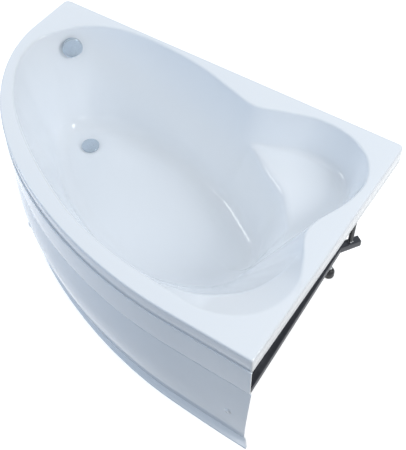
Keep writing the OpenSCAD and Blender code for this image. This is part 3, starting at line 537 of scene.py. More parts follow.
def mitred(line: Sequence[Plane], distance: float, closed: bool = False) -> list[Plane]:
    """Line moved sideways with mitred corners.

    Args:
        line: Points of the line.
        distance: How far it moves to the right of its direction.
        closed: Whether the last point joins the first.

    Returns:
        The moved points.
    """
    last = len(line) - 1
    moved = []
    for i, corner in enumerate(line):
        before, after = (i - 1, (i + 1) % len(line)) if closed else (max(i - 1, 0), min(i + 1, last))
        a = unit(line[i if closed else max(i, 1)] - line[before])
        b = unit(line[after] - line[i if closed else min(i, last - 1)])
        na, nb = np.array([a[1], -a[0]]), np.array([b[1], -b[0]])
        moved.append(corner + distance * (na + nb) / (1 + na @ nb))
    return moved


def skin(rows: int, columns: int, wrapped: bool) -> list[tuple[int, ...]]:
    """Faces between neighbouring closed loops of points, from the last to the first too where wrapped."""
    return [(k * columns + i, (k + 1) % rows * columns + i, (k + 1) % rows * columns + (i + 1) % columns,
             k * columns + (i + 1) % columns) for k in range(rows if wrapped else rows - 1) for i in range(columns)]


def lathe(profile: Sequence[tuple[float, float]], segments: int) -> tuple[Loop, list[list[int]]]:
    """Turned shape about the z axis.

    Args:
        profile: Radius and height pairs, anticlockwise seen with the axis upright on the left; the first and the
            last lie on the axis.
        segments: Faces round the axis.

    Returns:
        Points and faces.
    """
    points: Loop = []
    rings: list[range] = []
    for radius, height in profile:
        count = 1 if radius < TINY else segments
        rings.append(range(len(points), len(points) + count))
        turns = (2 * math.pi * i / segments for i in range(count))
        points += [(radius * math.cos(a), radius * math.sin(a), height) for a in turns]
    faces = []
    for low, high in zip(rings, rings[1:]):
        for i in range(segments):
            j = (i + 1) % segments
            quad = [ring[k % len(ring)] for ring, k in ((low, i), (low, j), (high, j), (high, i))]
            faces.append(list(dict.fromkeys(quad)))
    return points, faces


def edge_arc(reach: float, top: float, radius: float, count: int) -> list[tuple[float, float]]:
    """Rounded outer edge of a profile, from just above its side to its top, in a number of points."""
    return [(reach - radius + radius * math.cos(a), top - radius + radius * math.sin(a))
            for a in np.linspace(0.1, math.pi / 2, count)]


@dataclass(frozen=True)
class BathPlan:
    """Shape of the tub in plan and in section, as in the part's source.

    OPENING and FLOOR are points listed in thousandths of the rim's length and width.
    """

    length: float = 1530.0
    width: float = 1000.0
    height: float = 575.0
    corner_radius: float = 22.0
    front_corner_radius: float = 6.0
    front_flat: float = 310.0
    left_flat: float = 200.0
    exponent: float = 1.92
    skirt_height: float = 69.0
    skirt_thickness: float = 5.0
    shell: float = 6.0
    rim_radius: float = 7.0
    basin_depth: float = 430.0
    lip_length: float = 9.0
    floor_fillet: float = 70.0
    seat_depth: float = 140.0
    seat_back_run: float = 58.0
    seat_fillet: float = 32.0
    least_crease: float = 8.0
    brow_fillet: float = 13.0
    least_brow: float = 5.0
    seat_from: float = 8.25
    seat_to: float = 15.4
    seat_rise: float = 4.0
    seat_fall: float = 2.3
    seat_softness: float = 1.3
    seat_edge_share: float = 0.75
    seat_edge_drop: float = 20.0
    headrest_width: float = 118.0
    headrest_depth: float = 52.0
    headrest_at: float = 19.7
    headrest_before: float = 3.1
    headrest_after: float = 2.25
    lip_share: float = 0.06
    deck_run: float = 100.0
    toe_tail: float = 6.0
    band_proud: float = 3.0
    toe_reach: float = 29.0
    drain: tuple[float, float] = (-1220.94, -317.0)
    overflow_at: float = 1.4
    overflow_depth: float = 74.0
    overflow_probe: float = 0.2
    rim_spans: tuple[int, ...] = (8, 110, 8, 80, 6, 26, 134, 20)
    rim_places: tuple[float, ...] = (1.05, 1.35, 12.15, 12.45, 19.7, 19.9, 21.6, 29.8, 31.05)

    OPENING = np.array([(-953.6, -250), (-931.4, -180), (-885.6, -95), (-820.3, -44), (-732, -23),
        (-627.5, -27), (-522.9, -50), (-431.4, -88), (-356.2, -114), (-281, -80), (-202.6, -47),
        (-124.2, -58), (-58.8, -117), (-26.1, -215), (-32.7, -330), (-63.4, -455), (-65.4, -525),
        (-34, -620), (-15.7, -705), (-29.4, -812), (-75.2, -893), (-150.3, -936), (-261.4, -930),
        (-379.1, -915), (-503.3, -872), (-627.5, -793), (-751.6, -688), (-856.2, -568), (-928.1, -430),
        (-952.3, -335)], float)
    FLOOR = np.array([(-879.1, -290), (-866, -250), (-833.3, -205), (-784.3, -178), (-712.4, -165),
        (-620.9, -165), (-529.4, -185), (-457.5, -215), (-395.4, -250), (-336.6, -290), (-285.6, -335),
        (-248.4, -372), (-225.5, -410), (-214.4, -450), (-212.4, -490), (-219, -515), (-225.5, -540),
        (-234, -565), (-245.1, -592), (-261.4, -620), (-287.6, -648), (-320.3, -675), (-366, -700),
        (-424.8, -718), (-496.7, -720), (-588.2, -685), (-686.3, -620), (-777.8, -530), (-849.7, -430),
        (-875.8, -355)], float)

    def place(self, x: float, y: float, z: float) -> tuple[float, float, float]:
        """Point of the drafting frame in metres in the shared frame."""
        return ((x + (self.length + self.band_proud - self.toe_tail) / 2) * MM,
                (y + (self.width + self.toe_reach) / 2) * MM, z * MM)

    def opening(self, u: float) -> Plane:
        """Deck-level outline of the opening at u."""
        return smooth_curve(self.OPENING, u) * (self.length, self.width) / 1000

    def floor(self, u: float) -> Plane:
        """Outline of the basin floor at u."""
        return smooth_curve(self.FLOOR, u) * (self.length, self.width) / 1000

    def curve_point(self, angle: float) -> Plane:
        """Point of the curved front.

        Args:
            angle: From 0 degrees at the flat to 90 at the foot end.

        Returns:
            The plan point.
        """
        a = math.radians(angle)
        power = 2 / self.exponent
        return np.array([-self.front_flat - (self.length - self.front_flat) * math.sin(a) ** power,
                         -self.left_flat - (self.width - self.left_flat) * max(math.cos(a), 0.0) ** power])

    def front_y(self, x: float) -> float:
        """Y of the curved front at x."""
        share = ((-x - self.front_flat) / (self.length - self.front_flat)) ** self.exponent
        return -self.left_flat - (self.width - self.left_flat) * (1 - share) ** (1 / self.exponent)

    def rim(self) -> list[tuple[Plane, float]]:
        """Rim samples, clockwise from the left wall corner.

        Returns:
            Plan points, each with its place on the opening's outline.
        """
        r, c, length, width = self.corner_radius, self.front_corner_radius, self.length, self.width

        def arc(x: float, y: float, radius: float, degrees: float) -> Callable[[float], Plane]:
            """Clockwise quarter circle about x and y from a direction, by share of the way."""
            return lambda f: np.array([x, y]) + radius * toward(degrees - 90 * f)

        def run(*ends: Sequence[float]) -> Callable[[float], Plane]:
            """Straight run, by share of the way."""
            return lambda f: np.array(ends[0]) * (1 - f) + np.array(ends[1]) * f

        stretches = (arc(r - length, -r, r, 180), run((r - length, 0), (-r, 0)), arc(-r, -r, r, 90),
                     run((0, -r), (0, c - width)), arc(-c, c - width, c, 0),
                     run((-c, -width), (-self.front_flat, -width)), lambda f: self.curve_point(90 * f),
                     run((-length, -self.left_flat), (-length, -r)))
        made: list[tuple[Plane, float]] = []
        for k, (point, spans) in enumerate(zip(stretches, self.rim_spans)):
            low, high = self.rim_places[k:k + 2]
            # A straight run leaves out its ends, which its neighbours have.
            shares = np.arange(1, spans) / spans if k % 2 else np.linspace(0, 1, spans + 1)
            made += [(point(f), low + (high - low) * f) for f in shares]
        return made

    def seat(self, u: float) -> float:
        """How much of the corner seat shows.

        Args:
            u: Place on the opening's outline.

        Returns:
            Share from 0 to 1.
        """
        off_middle = 2 * u - self.seat_from - self.seat_to
        share = abs(off_middle) / (self.seat_to - self.seat_from)
        if share >= 1:
            return 0.0
        return (1 - share ** (self.seat_rise if off_middle < 0 else self.seat_fall)) ** self.seat_softness

    def headrest(self, u: float) -> float:
        """How much of the sloping headrest shows at u, from 0 to 1."""
        share = (u - self.headrest_at) / (self.headrest_before if u < self.headrest_at else self.headrest_after)
        return 0.0 if abs(share) >= 1 else math.cos(math.pi / 2 * share)

    def corners(self, u: float) -> list[Plane]:
        """Corners of the wall's section.

        Args:
            u: Place on the opening's outline.

        Returns:
            Run from the edge and height from the rim of each corner.
        """
        run = float(np.linalg.norm(self.floor(u) - self.opening(u)))
        h, g = self.headrest(u), self.seat(u)
        foot = np.array([run, -self.basin_depth])
        lip_fall = self.lip_share * self.basin_depth
        lip_run = self.lip_share * run * (1 - g) + self.seat_back_run * lip_fall / self.seat_depth * g
        brow = np.array([lip_run, -lip_fall]) * (1 - h) + np.array([self.headrest_width, -self.headrest_depth]) * h
        back = (self.seat_depth + brow[1]) / (self.basin_depth + brow[1])
        edge = back + self.seat_edge_drop / self.basin_depth
        wall_back, wall_edge = brow + (foot - brow) * back, brow + (foot - brow) * edge
        seat_back = np.array([self.seat_back_run, -self.seat_depth])
        seat_edge = np.array([self.seat_edge_share * run, -self.seat_depth])
        return [np.array([-self.deck_run, 0.0]), np.zeros(2), brow, wall_back + (seat_back - wall_back) * g * g,
                wall_edge + (seat_edge - wall_edge) * g, foot,
                np.array([run + self.deck_run, -self.basin_depth])]

    def section(self, u: float, out: float, fine: bool) -> list[Plane]:
        """Rounded section of the wall.

        Args:
            u: Place on the opening's outline.
            out: Distance to the hidden side.
            fine: Whether many points are wanted.

        Returns:
            Points from deck to floor, the same number at each u.
        """
        h, g = self.headrest(u), self.seat(u)
        crease = self.least_crease + (self.seat_fillet - self.least_crease) * g * g
        brow = self.least_brow + (self.brow_fillet - self.least_brow) * h
        lengths = [self.lip_length, brow, crease, crease, self.floor_fillet]
        steps = (7, 7, 8, 8, 12) if fine else (3, 3, 3, 3, 5)  # spans of each rounding
        between = (1, 2, 2, 4, 0) if fine else (0, 1, 1, 1, 0)  # points from each rounding to the next
        corners = mitred(self.corners(u), out)
        arcs = [rounding(*corners[k:k + 3], lengths[k], steps[k]) for k in range(5)]
        points: list[Plane] = []
        for arc, after, count in zip(arcs, arcs[1:] + arcs[:1], between):
            points += [*arc, *(arc[-1] * (1 - f) + after[0] * f for f in np.arange(1, count + 1) / (count + 1))]
        return points

    def overflow(self) -> tuple[Plane, Plane]:
        """Place and outward normal of the overflow on the wall.

        Returns:
            Point in the drafting frame, and unit normal into the basin.
        """
        u = self.overflow_at
        way = self.floor(u) - self.opening(u)
        spot = self.opening(u) + way * self.overflow_depth / self.basin_depth
        along = self.opening(u + self.overflow_probe) - self.opening(u - self.overflow_probe)
        normal = unit(np.cross([*way, -self.basin_depth], [*along, 0.0]))
        return np.array([*spot, self.height - self.overflow_depth]), normal


class Maker:
    """Turns loops and profiles into finished pieces and hands them to the frame."""

    def __init__(self, plan: BathPlan, nodes: dict[str, bpy.types.Object]) -> None:
        """Makes the finishes.

        Args:
            plan: The tub's sizes, which also place the points.
            nodes: CAD nodes by name.
        """
        self.plan = plan
        self.nodes = nodes
        self.book = FinishBook()

    def piece(self, name: str, points: Sequence[Sequence[float]], faces: Sequence[Sequence[int]], slot: Slot,
              edges: Sequence[tuple[int, int]] = ()) -> bpy.types.Object:
        """Makes an object from points in the drafting frame.

        Args:
            name: Object name.
            points: Points in millimetres.
            faces: Faces with outward order.
            slot: Record slot of its finish.
            edges: Edges that belong to no face.

        Returns:
            The object, at the origin.
        """
        mesh = bpy.data.meshes.new(name)
        mesh.from_pydata([self.plan.place(*p) for p in points], edges, faces)
        mesh.update()
        return self.adopt(name, mesh, slot)

    def adopt(self, name: str, mesh: bpy.types.Mesh, slot: Slot) -> bpy.types.Object:
        """Wraps a mesh that is already in place in an object, smooths it and gives it its finish.

        Args:
            name: Object name.
            mesh: The mesh.
            slot: Record slot of its finish.

        Returns:
            The object.
        """
        mesh.materials.clear()
        mesh.materials.append(self.book.materials[slot])
        mesh.polygons.foreach_set("use_smooth", [True] * len(mesh.polygons))
        mesh.set_sharp_from_angle(angle=SHARP)
        return linked(name, mesh)

    def register(self, made: bpy.types.Object, slot: Slot, body: str = ROOT, *nodes: str) -> None:
        """Tells the frame what a piece rides on and which nodes it replaces.

        Args:
            made: The piece.
            slot: Record slot of its finish; not used.
            body: The body that it rides on.
            nodes: CAD nodes that it replaces.
        """
        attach(made, body)
        if nodes:
            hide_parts(*nodes)
        LOG.info("%s: %d faces on %s", made.name, len(made.data.polygons), body)

    @staticmethod
    def bake(made: bpy.types.Object) -> None:
        """Applies all modifiers of an object by replacing its mesh.

        Args:
            made: The object.
        """
        graph = bpy.context.evaluated_depsgraph_get()
        graph.update()
        mesh = bpy.data.meshes.new_from_object(made.evaluated_get(graph))
        made.modifiers.clear()
        made.data = mesh

    def cut(self, made: bpy.types.Object, tool: bpy.types.Object, operation: str = CUT) -> None:
        """Joins a tool body to a piece, or cuts it away, and removes the tool.

        Args:
            made: The piece.
            tool: The tool body.
            operation: ADD or CUT.
        """
        modifier = made.modifiers.new("cut", "BOOLEAN")
        modifier.operation = operation
        modifier.solver = "EXACT"
        modifier.object = tool
        self.bake(made)
        bpy.data.objects.remove(tool)

    def drill(self, made: bpy.types.Object, spot: Plane, way: Plane,
              *bars: tuple[float, float, float, str, int]) -> None:
        """Joins round bars on one axis to a piece, or cuts them away, in order.

        Args:
            made: The piece.
            spot: Point on the axis.
            way: Unit vector of the axis.
            bars: For each bar how far before the spot it starts, its radius, length, operation and faces round.
        """
        for back, radius, length, operation, segments in bars:
            profile = [(0.0, 0.0), (radius, 0.0), (radius, length), (0.0, length)]
            tool = self.turned("tool", profile, spot - back * way, way, Slot.ACRYLIC, segments)
            self.cut(made, tool, operation)

    def turned(self, name: str, profile: Sequence[tuple[float, float]], start: Plane, way: Plane, slot: Slot,
               segments: int) -> bpy.types.Object:
        """Turns a profile about any axis.

        Args:
            name: Object name.
            profile: Radius and height pairs, as for lathe.
            start: Zero of the heights.
            way: Unit vector of the axis.
            slot: Record slot of the finish.
            segments: Faces round the axis.

        Returns:
            The closed object.
        """
        turn = Vector(way).to_track_quat("Z", "X").to_matrix()
        points, faces = lathe(profile, segments)
        return self.piece(name, [np.array(start) + np.array(turn @ Vector(p)) for p in points], faces, slot)


@dataclass
class Part:
    """A sub-assembly with the maker that builds its pieces."""

    maker: Maker

    @property
    def plan(self) -> BathPlan:
        """The tub's sizes."""
        return self.maker.plan


@dataclass
class TubShell(Part):
    """The acrylic shell: rim, skirt, basin, seat and headrest in one closed skin."""

    pocket_radius: float = 38.0
    pocket_depth: float = 0.6
    boss_depth: float = 12.0
    boss_wall: float = 3.0
    edge_spans: int = 7
    pocket_tool: float = 25.0
    overflow_bore: float = 20.0
    bore_lead: float = 10.0
    bore_tool: float = 30.0
    waste_bore: float = 23.0
    skirt_edge: float = 1.6
    deck_hold: float = 2.0
    least_arc: float = 0.4
    round_faces: int = 96

    def inset(self, line: Sequence[Plane], distance: float) -> list[Plane]:
        """Clockwise closed line moved inwards, with a front corner that never folds over.

        Args:
            line: Plan points of the line.
            distance: How far it moves.

        Returns:
            The moved points.
        """
        radius = self.plan.front_corner_radius
        centre = np.array([-radius, radius - self.plan.width])
        limit = min(distance, radius - self.least_arc)
        slide = (distance - limit) * np.array([-1.0, 1.0])
        both = zip(line, mitred(line, distance, True), mitred(line, limit, True))
        return [near + slide if np.linalg.norm(q - centre) < radius + TINY else far for q, far, near in both]

    def wall(self, rim: Sequence[tuple[Plane, float]], out: float, fine: bool) -> list[Loop]:
        """Loops of the basin wall from the deck to the floor.

        Args:
            rim: Rim samples.
            out: Distance to the hidden side.
            fine: Whether many loops are wanted.

        Returns:
            One closed loop for each point of the section.
        """
        columns = []
        for _, u in rim:
            edge = self.plan.opening(u)
            way = unit(self.plan.floor(u) - edge)
            columns.append([(*(edge + way * p[0]), self.plan.height + p[1]) for p in self.plan.section(u, out, fine)])
        return [list(loop) for loop in zip(*columns)]

    def bore_loop(self, loop: Loop, z: float) -> Loop:
        """Circle of the waste bore with one point towards each point of a loop."""
        centre = np.array(self.plan.drain)
        return [(*(centre + self.waste_bore * unit(np.array(p[:2]) - centre)), z) for p in loop]

    def build(self) -> None:
        """Builds the shell and puts it in place of the CAD node."""
        plan = self.plan
        rim = plan.rim()
        line = [p for p, _ in rim]
        upper, under = self.wall(rim, 0.0, True), self.wall(rim, plan.shell, False)
        floor, bottom = plan.height - plan.basin_depth, plan.height - plan.skirt_height
        r, e, inner = plan.rim_radius, self.skirt_edge, plan.skirt_thickness
        skirt = [(inner, plan.height - plan.shell), (inner, bottom + e), (inner - e, bottom), (e, bottom),
                 (0.3 * e, bottom + 0.3 * e), (0.0, bottom + e)]
        skirt += [(r * (1 - math.cos(t)), plan.height - r * (1 - math.sin(t)))
                  for t in np.linspace(0, math.pi / 2, self.edge_spans + 1)]
        skirt.append((r + self.deck_hold, plan.height))
        loops = [self.bore_loop(under[-1], floor - plan.shell), *reversed(under)]
        hidden = len(loops) + 1
        loops += [[(*p, z) for p in self.inset(line, distance)] for distance, z in skirt]
        loops += [*upper, self.bore_loop(upper[-1], floor)]
        faces = skin(len(loops), len(rim), True)
        made = self.maker.piece("tub_shell", [p for loop in loops for p in loop], faces, Slot.ACRYLIC)
        made.data.materials.append(self.maker.book.fibre)
        made.data.polygons.foreach_set("material_index", [int(k < hidden * len(rim)) for k in range(len(faces))])
        spot, normal = plan.overflow()
        depth, pocket, around = self.boss_depth, self.pocket_depth, self.round_faces
        self.maker.drill(made, spot, normal,
                         (depth, self.pocket_radius + self.boss_wall, depth - pocket, ADD, around),
                         (pocket, self.pocket_radius, self.pocket_tool, CUT, around),
                         (depth + self.bore_lead, self.overflow_bore, self.bore_tool, CUT, around))
        made.data.set_sharp_from_angle(angle=SHARP)
        self.maker.register(made, Slot.ACRYLIC, ROOT, "bath_shell")


@dataclass
class ApronPanel(Part):
    """The curved front panel from the tongue behind the skirt to the toe on the floor."""

    thickness: float = 4.0
    gap: float = 0.1
    band_height: float = 138.9
    groove_depth: float = 4.0
    swell: float = 12.0
    seat_end_swell: float = 6.0
    cove_height: float = 38.0
    toe_right: float = 29.0
    toe_left: float = -2.0
    toe_draws_in: float = 0.42
    cove_width: float = 18.0
    cove_narrow: float = 5.0
    cove_lead: float = 5.0
    toe_edge: float = 10.0
    tongue_rise: float = 34.0
    end_gap: float = 4.0
    flat_steps: int = 6
    curve_steps: int = 34
    left_steps: int = 4
    tongue_end: float = -7.0
    band_back: float = -3.0
    wall_front: float = 2.0
    wall_back: float = -14.0
    tongue_room: float = 2.0
    tongue_clearance: float = 1.5
    cove_sink: float = 0.55
    toe_ease: float = 0.6
    wall_step: float = 1.0
    wall_drop: float = 6.0
    wall_spans: int = 26
    cove_spans: int = 16
    groove_room: float = 5.0
    end_steps: tuple[float, ...] = (0.0, 0.04, 0.1, 0.3, 0.6)
    per_step: int = 4
    tool_room: float = 10.0
    left_reach: float = 4.0

    @property
    def total(self) -> int:
        """Number of steps along the panel."""
        return self.flat_steps + self.curve_steps + self.left_steps

    @property
    def shoulder(self) -> float:
        """Height of the band's top."""
        return self.plan.height - self.plan.skirt_height - self.gap

    @property
    def groove(self) -> float:
        """Height of the band's bottom."""
        return self.shoulder - self.band_height

    def line(self, step: float) -> Plane:
        """Plan point of the rim line.

        Args:
            step: Panel steps from the seat end.

        Returns:
            The point.
        """
        plan = self.plan
        if step < self.flat_steps:
            return np.array([-plan.front_flat * step / self.flat_steps, -plan.width])
        if step <= self.flat_steps + self.curve_steps:
            return plan.curve_point(90 * (step - self.flat_steps) / self.curve_steps)
        share = (step - self.flat_steps - self.curve_steps) / self.left_steps
        return np.array([-plan.length, -plan.left_flat + (plan.left_flat - self.end_gap) * share])

    def section(self, w: float) -> list[Plane]:
        """Outer section of the panel.

        Args:
            w: Share of the way from the seat end.

        Returns:
            Reach past the rim and height of each point, top to bottom.
        """
        proud, back = self.plan.band_proud, self.plan.skirt_thickness + self.tongue_clearance
        share = min(w / self.toe_draws_in, 1.0)
        drawn = share * share * (3 - 2 * share)
        toe = self.toe_right + (self.toe_left - self.toe_right) * drawn
        low = toe - self.cove_width - (self.cove_narrow - self.cove_width) * drawn
        swell = self.swell * math.sin(math.pi * w) + self.seat_end_swell * (1 - w)
        start, top = proud - self.wall_step, self.groove - self.wall_drop
        points = [(-back, self.shoulder + self.tongue_rise), (-back, self.shoulder + 2), (-back, self.shoulder)]
        points += [(reach, self.shoulder - drop) for reach, drop in (
            (-back * 0.5, 0.0), (0.0, 0.1), (proud - 1.5, 0.3), (proud - 0.7, 0.8), (proud - 0.2, 1.6))]
        points += [(proud, self.shoulder - 4 - (self.band_height - 6) * t) for t in (0.0, 0.5, 1.0)]
        points += [(proud - 0.1, self.groove + 0.6), (proud - 0.5, self.groove),
                   (proud - self.groove_depth, self.groove - 1.5), (proud - self.groove_depth, self.groove - 2.5)]
        points += [(start - 0.6, top + 0.5), (start - 0.1, top), (start, top - 0.8)]
        points += [(start + (low - start) * t * t + swell * math.sin(math.pi * t), top + (self.cove_height - top) * t)
                   for t in np.linspace(0, 1, self.wall_spans + 1)[1:]]
        lead, sink = self.cove_lead, self.cove_sink * (self.cove_height - self.toe_edge)
        ends = [np.array(p) for p in ((low, self.cove_height), (low - lead, self.toe_edge + sink),
                                      (low + lead, self.toe_edge + lead), (toe, self.toe_edge))]
        points += bezier(ends, self.cove_spans)[1:-1]
        points += [(toe - 0.8, self.toe_edge), (toe, self.toe_edge - 1.0), (toe, self.toe_edge * 0.5), (toe, 0.0)]
        return [np.array(p, float) for p in points]

    def end_shift(self, reach: float, z: float) -> float:
        """How far the seat end's edge lies past the rim's corner.

        Args:
            reach: Reach past the rim.
            z: Height.

        Returns:
            The distance.
        """
        if reach < -self.plan.skirt_thickness:
            return self.tongue_end
        if z > self.groove - self.groove_room:
            return self.band_back * (1 - (z - self.groove) / self.band_height)
        if z > self.cove_height:
            return self.wall_front + (self.wall_back - self.wall_front) * (self.groove - z) / (
                self.groove - self.cove_height)
        share = min(max((z - self.toe_edge) / (self.cove_height - self.toe_edge), 0.0), 1.0) ** self.toe_ease
        return self.plan.toe_tail + (self.wall_back - self.plan.toe_tail) * share

    def row(self, step: float, inner: bool) -> Loop:
        """Points of one station of the panel.

        Args:
            step: Panel steps from the seat end.
            inner: Whether the inner side is wanted.

        Returns:
            The points, top to bottom.
        """
        t = np.array([-1.0, 0.0])
        if step >= 0.5:
            t = unit(self.line(min(step + 0.5, float(self.total))) - self.line(step - 0.5))
        normal = np.array([-t[1], t[0]])
        section = self.section(step / self.total)
        if inner:
            flipped = [np.array([-p[0], p[1]]) for p in section]
            section = [np.array([-p[0], p[1]]) for p in mitred(flipped, -self.thickness)]
            section[-1][1] = 0.0
        spot = self.line(step)
        left_side = -self.plan.length - self.left_reach
        made = []
        for reach, z in section:
            shift = self.end_shift(reach, z) * max(0.0, 1 - step)
            made.append((max(spot[0] + normal[0] * reach + shift, left_side), spot[1] + normal[1] * reach, z))
        return made

    def build(self) -> bpy.types.Object:
        """Builds the panel and puts it in place of the CAD node.

        Returns:
            The panel.
        """
        steps = [*self.end_steps, *np.linspace(1, self.total, self.per_step * (self.total - 1) + 1)]
        rings = [[*self.row(s, False), *reversed(self.row(s, True))] for s in steps]
        around = len(rings[0])
        faces = skin(len(rings), around, False)
        last = (len(rings) - 1) * around
        for c in range(around // 2 - 1):
            faces.append((c, c + 1, around - 2 - c, around - 1 - c))
            faces.append((last + c, last + around - 1 - c, last + around - 2 - c, last + c + 1))
        made = self.maker.piece("apron_panel", [p for ring in rings for p in ring], faces, Slot.ACRYLIC)
        plan, corner = self.plan, self.plan.corner_radius
        left, right, near = -plan.length - self.tool_room, 2 * corner - plan.length, -corner - self.tongue_room
        box = [(x, y, z) for z in (self.shoulder + self.gap / 2, plan.height)
               for x, y in ((left, near), (right, near), (right, corner), (left, corner))]
        self.maker.cut(made, self.maker.piece("tool", box, BOX_FACES, Slot.ACRYLIC))
        self.maker.register(made, Slot.ACRYLIC, ROOT, "front_panel")
        return made


@dataclass
class PanelFixings(Part):
    """Bosses and cap seats of the two panel screws, cut into the panel sheet."""

    right_x: float = -78.0
    left_x: float = -1135.0
    height: float = 172.0
    cap_radius: float = 12.0
    cap_pocket: float = 1.0
    boss_radius: float = 10.0
    boss_length: float = 24.0
    screw_radius: float = 3.0
    slip: float = 0.1
    seat_tool: float = 20.0
    hole_tool: float = 60.0
    faces: int = 48
    seat_faces: int = 64
    samples: int = 2001

    def spots(self, panel: ApronPanel) -> list[tuple[Plane, Plane]]:
        """Places on the panel's outer face and their outward normals.

        Args:
            panel: The panel that the screws hold.

        Returns:
            Point and normal of each screw.
        """
        front_y = self.plan.front_y
        slope = unit(np.array([-2.0, front_y(self.left_x - 1) - front_y(self.left_x + 1)]))
        stations = [s for s in np.linspace(0, panel.total, self.samples) if s <= panel.flat_steps + panel.curve_steps]
        found = []
        for x, y, normal in ((self.right_x, -self.plan.width, np.array([0.0, -1.0])),
                             (self.left_x, front_y(self.left_x), np.array([-slope[1], slope[0]]))):
            step = min(stations, key=lambda s: abs(panel.line(s)[0] - x))
            wall = [p for p in panel.section(step / panel.total)
                    if panel.cove_height < p[1] < panel.groove - panel.groove_room]
            reach = float(np.interp(self.height, [p[1] for p in wall[::-1]], [p[0] for p in wall[::-1]]))
            found.append((np.array([x + reach * normal[0], y + reach * normal[1], self.height]),
                          np.array([*normal, 0.0])))
        return found

    def build(self, panel: ApronPanel, sheet: bpy.types.Object) -> None:
        """Adds the bosses and cuts the seats and screw holes.

        Args:
            panel: The panel's sizes.
            sheet: The panel's object.
        """
        for spot, normal in self.spots(panel):
            reach = self.boss_length
            self.maker.drill(sheet, spot, normal,
                             (reach, self.boss_radius, reach - panel.thickness / 2, ADD, self.faces),
                             (self.cap_pocket, self.cap_radius + self.slip, self.seat_tool, CUT, self.seat_faces),
                             (self.hole_tool / 2, self.screw_radius + self.slip, self.hole_tool, CUT, self.faces))
        sheet.data.set_sharp_from_angle(angle=SHARP)


@dataclass
class OverflowKnob(Part):
    """Satin disc that is turned to lift the plug: dished face, notch and grip flutes."""

    radius: float = 41.0
    thickness: float = 15.0
    base: float = 6.4
    dish: float = 1.5
    notch_angle: float = 15.0
    notch_depth: float = 7.0
    flange: float = 5.0
    spindle_radius: float = 6.0
    spindle_back: float = 31.0
    flutes: int = 7
    flute_radius: float = 1.1
    flute_spacing: float = 7.0
    flute_foot: float = 4.0
    flute_tool: float = 20.0
    notch_tool: float = 40.0
    faces: int = 160
    flute_faces: int = 24

    def build(self) -> None:
        """Builds the knob and its spindle in place of the CAD node."""
        spot, normal = self.plan.overflow()
        axes = Matrix.Rotation(math.atan2(normal[1], normal[0]), 3, "Z") @ Matrix.Rotation(
            math.acos(normal[2]), 3, "Y")
        ax, ay = np.array(axes.col[0]), np.array(axes.col[1])
        r, t, b, s, back = self.radius, self.base + self.thickness, self.base, self.spindle_radius, -self.spindle_back
        face = r - 7.2
        profile = [(0.0, back), (s - 0.6, back), (s, back + 0.6), (s, b - 0.6), (s + 0.6, b), (r - 5, b),
                   (r - 2.2, b + 0.5), (r - 0.4, b + 1.5), (r, b + 2.4), (r, t - 3.2)]
        profile += [*edge_arc(r, t, 3.0, 9), (r - 6.4, t), (face, t - 0.15)]
        profile += [(face * f, t - 0.15 - (self.dish - 0.15) * (1 - f * f)) for f in np.linspace(0.95, 0, 14)]
        made = self.maker.turned("overflow_dial", profile, spot, normal, Slot.CHROME, self.faces)
        turn = math.radians(self.notch_angle)
        nx = math.cos(turn) * ax + math.sin(turn) * ay
        ny = -math.sin(turn) * ax + math.cos(turn) * ay
        low, high, wide = r - self.notch_depth, 2 * r, 2 * r
        box = [spot + x * nx + y * ny + z * normal for z in (b + self.flange, b + self.notch_tool)
               for x, y in ((low, -wide), (high, -wide), (high, wide), (low, wide))]
        self.maker.cut(made, self.maker.piece("tool", box, BOX_FACES, Slot.CHROME))
        for i in range(self.flutes):
            a = turn + math.pi + math.radians(self.flute_spacing) * (i - (self.flutes - 1) / 2)
            foot = spot + (r + 0.25) * (math.cos(a) * ax + math.sin(a) * ay) + (b + self.flute_foot) * normal
            self.maker.drill(made, foot, normal, (0.0, self.flute_radius, self.flute_tool, CUT, self.flute_faces))
        made.data.set_sharp_from_angle(angle=SHARP)
        self.maker.register(made, Slot.CHROME, "knob", "overflow_knob")


@dataclass
class Plug(Part):
    """Domed plug with a rolled edge on its stem."""

    radius: float = 37.0
    thickness: float = 5.0
    bottom: float = 150.3
    rise: float = 0.8
    stem_radius: float = 4.0
    stem_bottom: float = 111.0
    faces: int = 128

    def build(self) -> None:
        """Builds the plug in place of the CAD node."""
        r, b, t, s, foot = self.radius, self.bottom, self.bottom + self.thickness, self.stem_radius, self.stem_bottom
        profile = [(0.0, foot), (s - 0.8, foot), (s, foot + 0.8), (s, b - 0.5), (s + 0.5, b), (r - 2.0, b),
                   (r - 0.8, b + 0.5), (r, b + 1.5), (r, t - 1.6)]
        profile += edge_arc(r, t, 1.5, 7)
        profile += [((r - 1.5) * f, t + self.rise * (1 - f * f)) for f in np.linspace(0.93, 0, 12)]
        axis = np.array([*self.plan.drain, 0.0])
        made = self.maker.turned("plug_disc", profile, axis, np.array([0.0, 0.0, 1.0]), Slot.CHROME, self.faces)
        self.maker.register(made, Slot.CHROME, "plug", "plug")


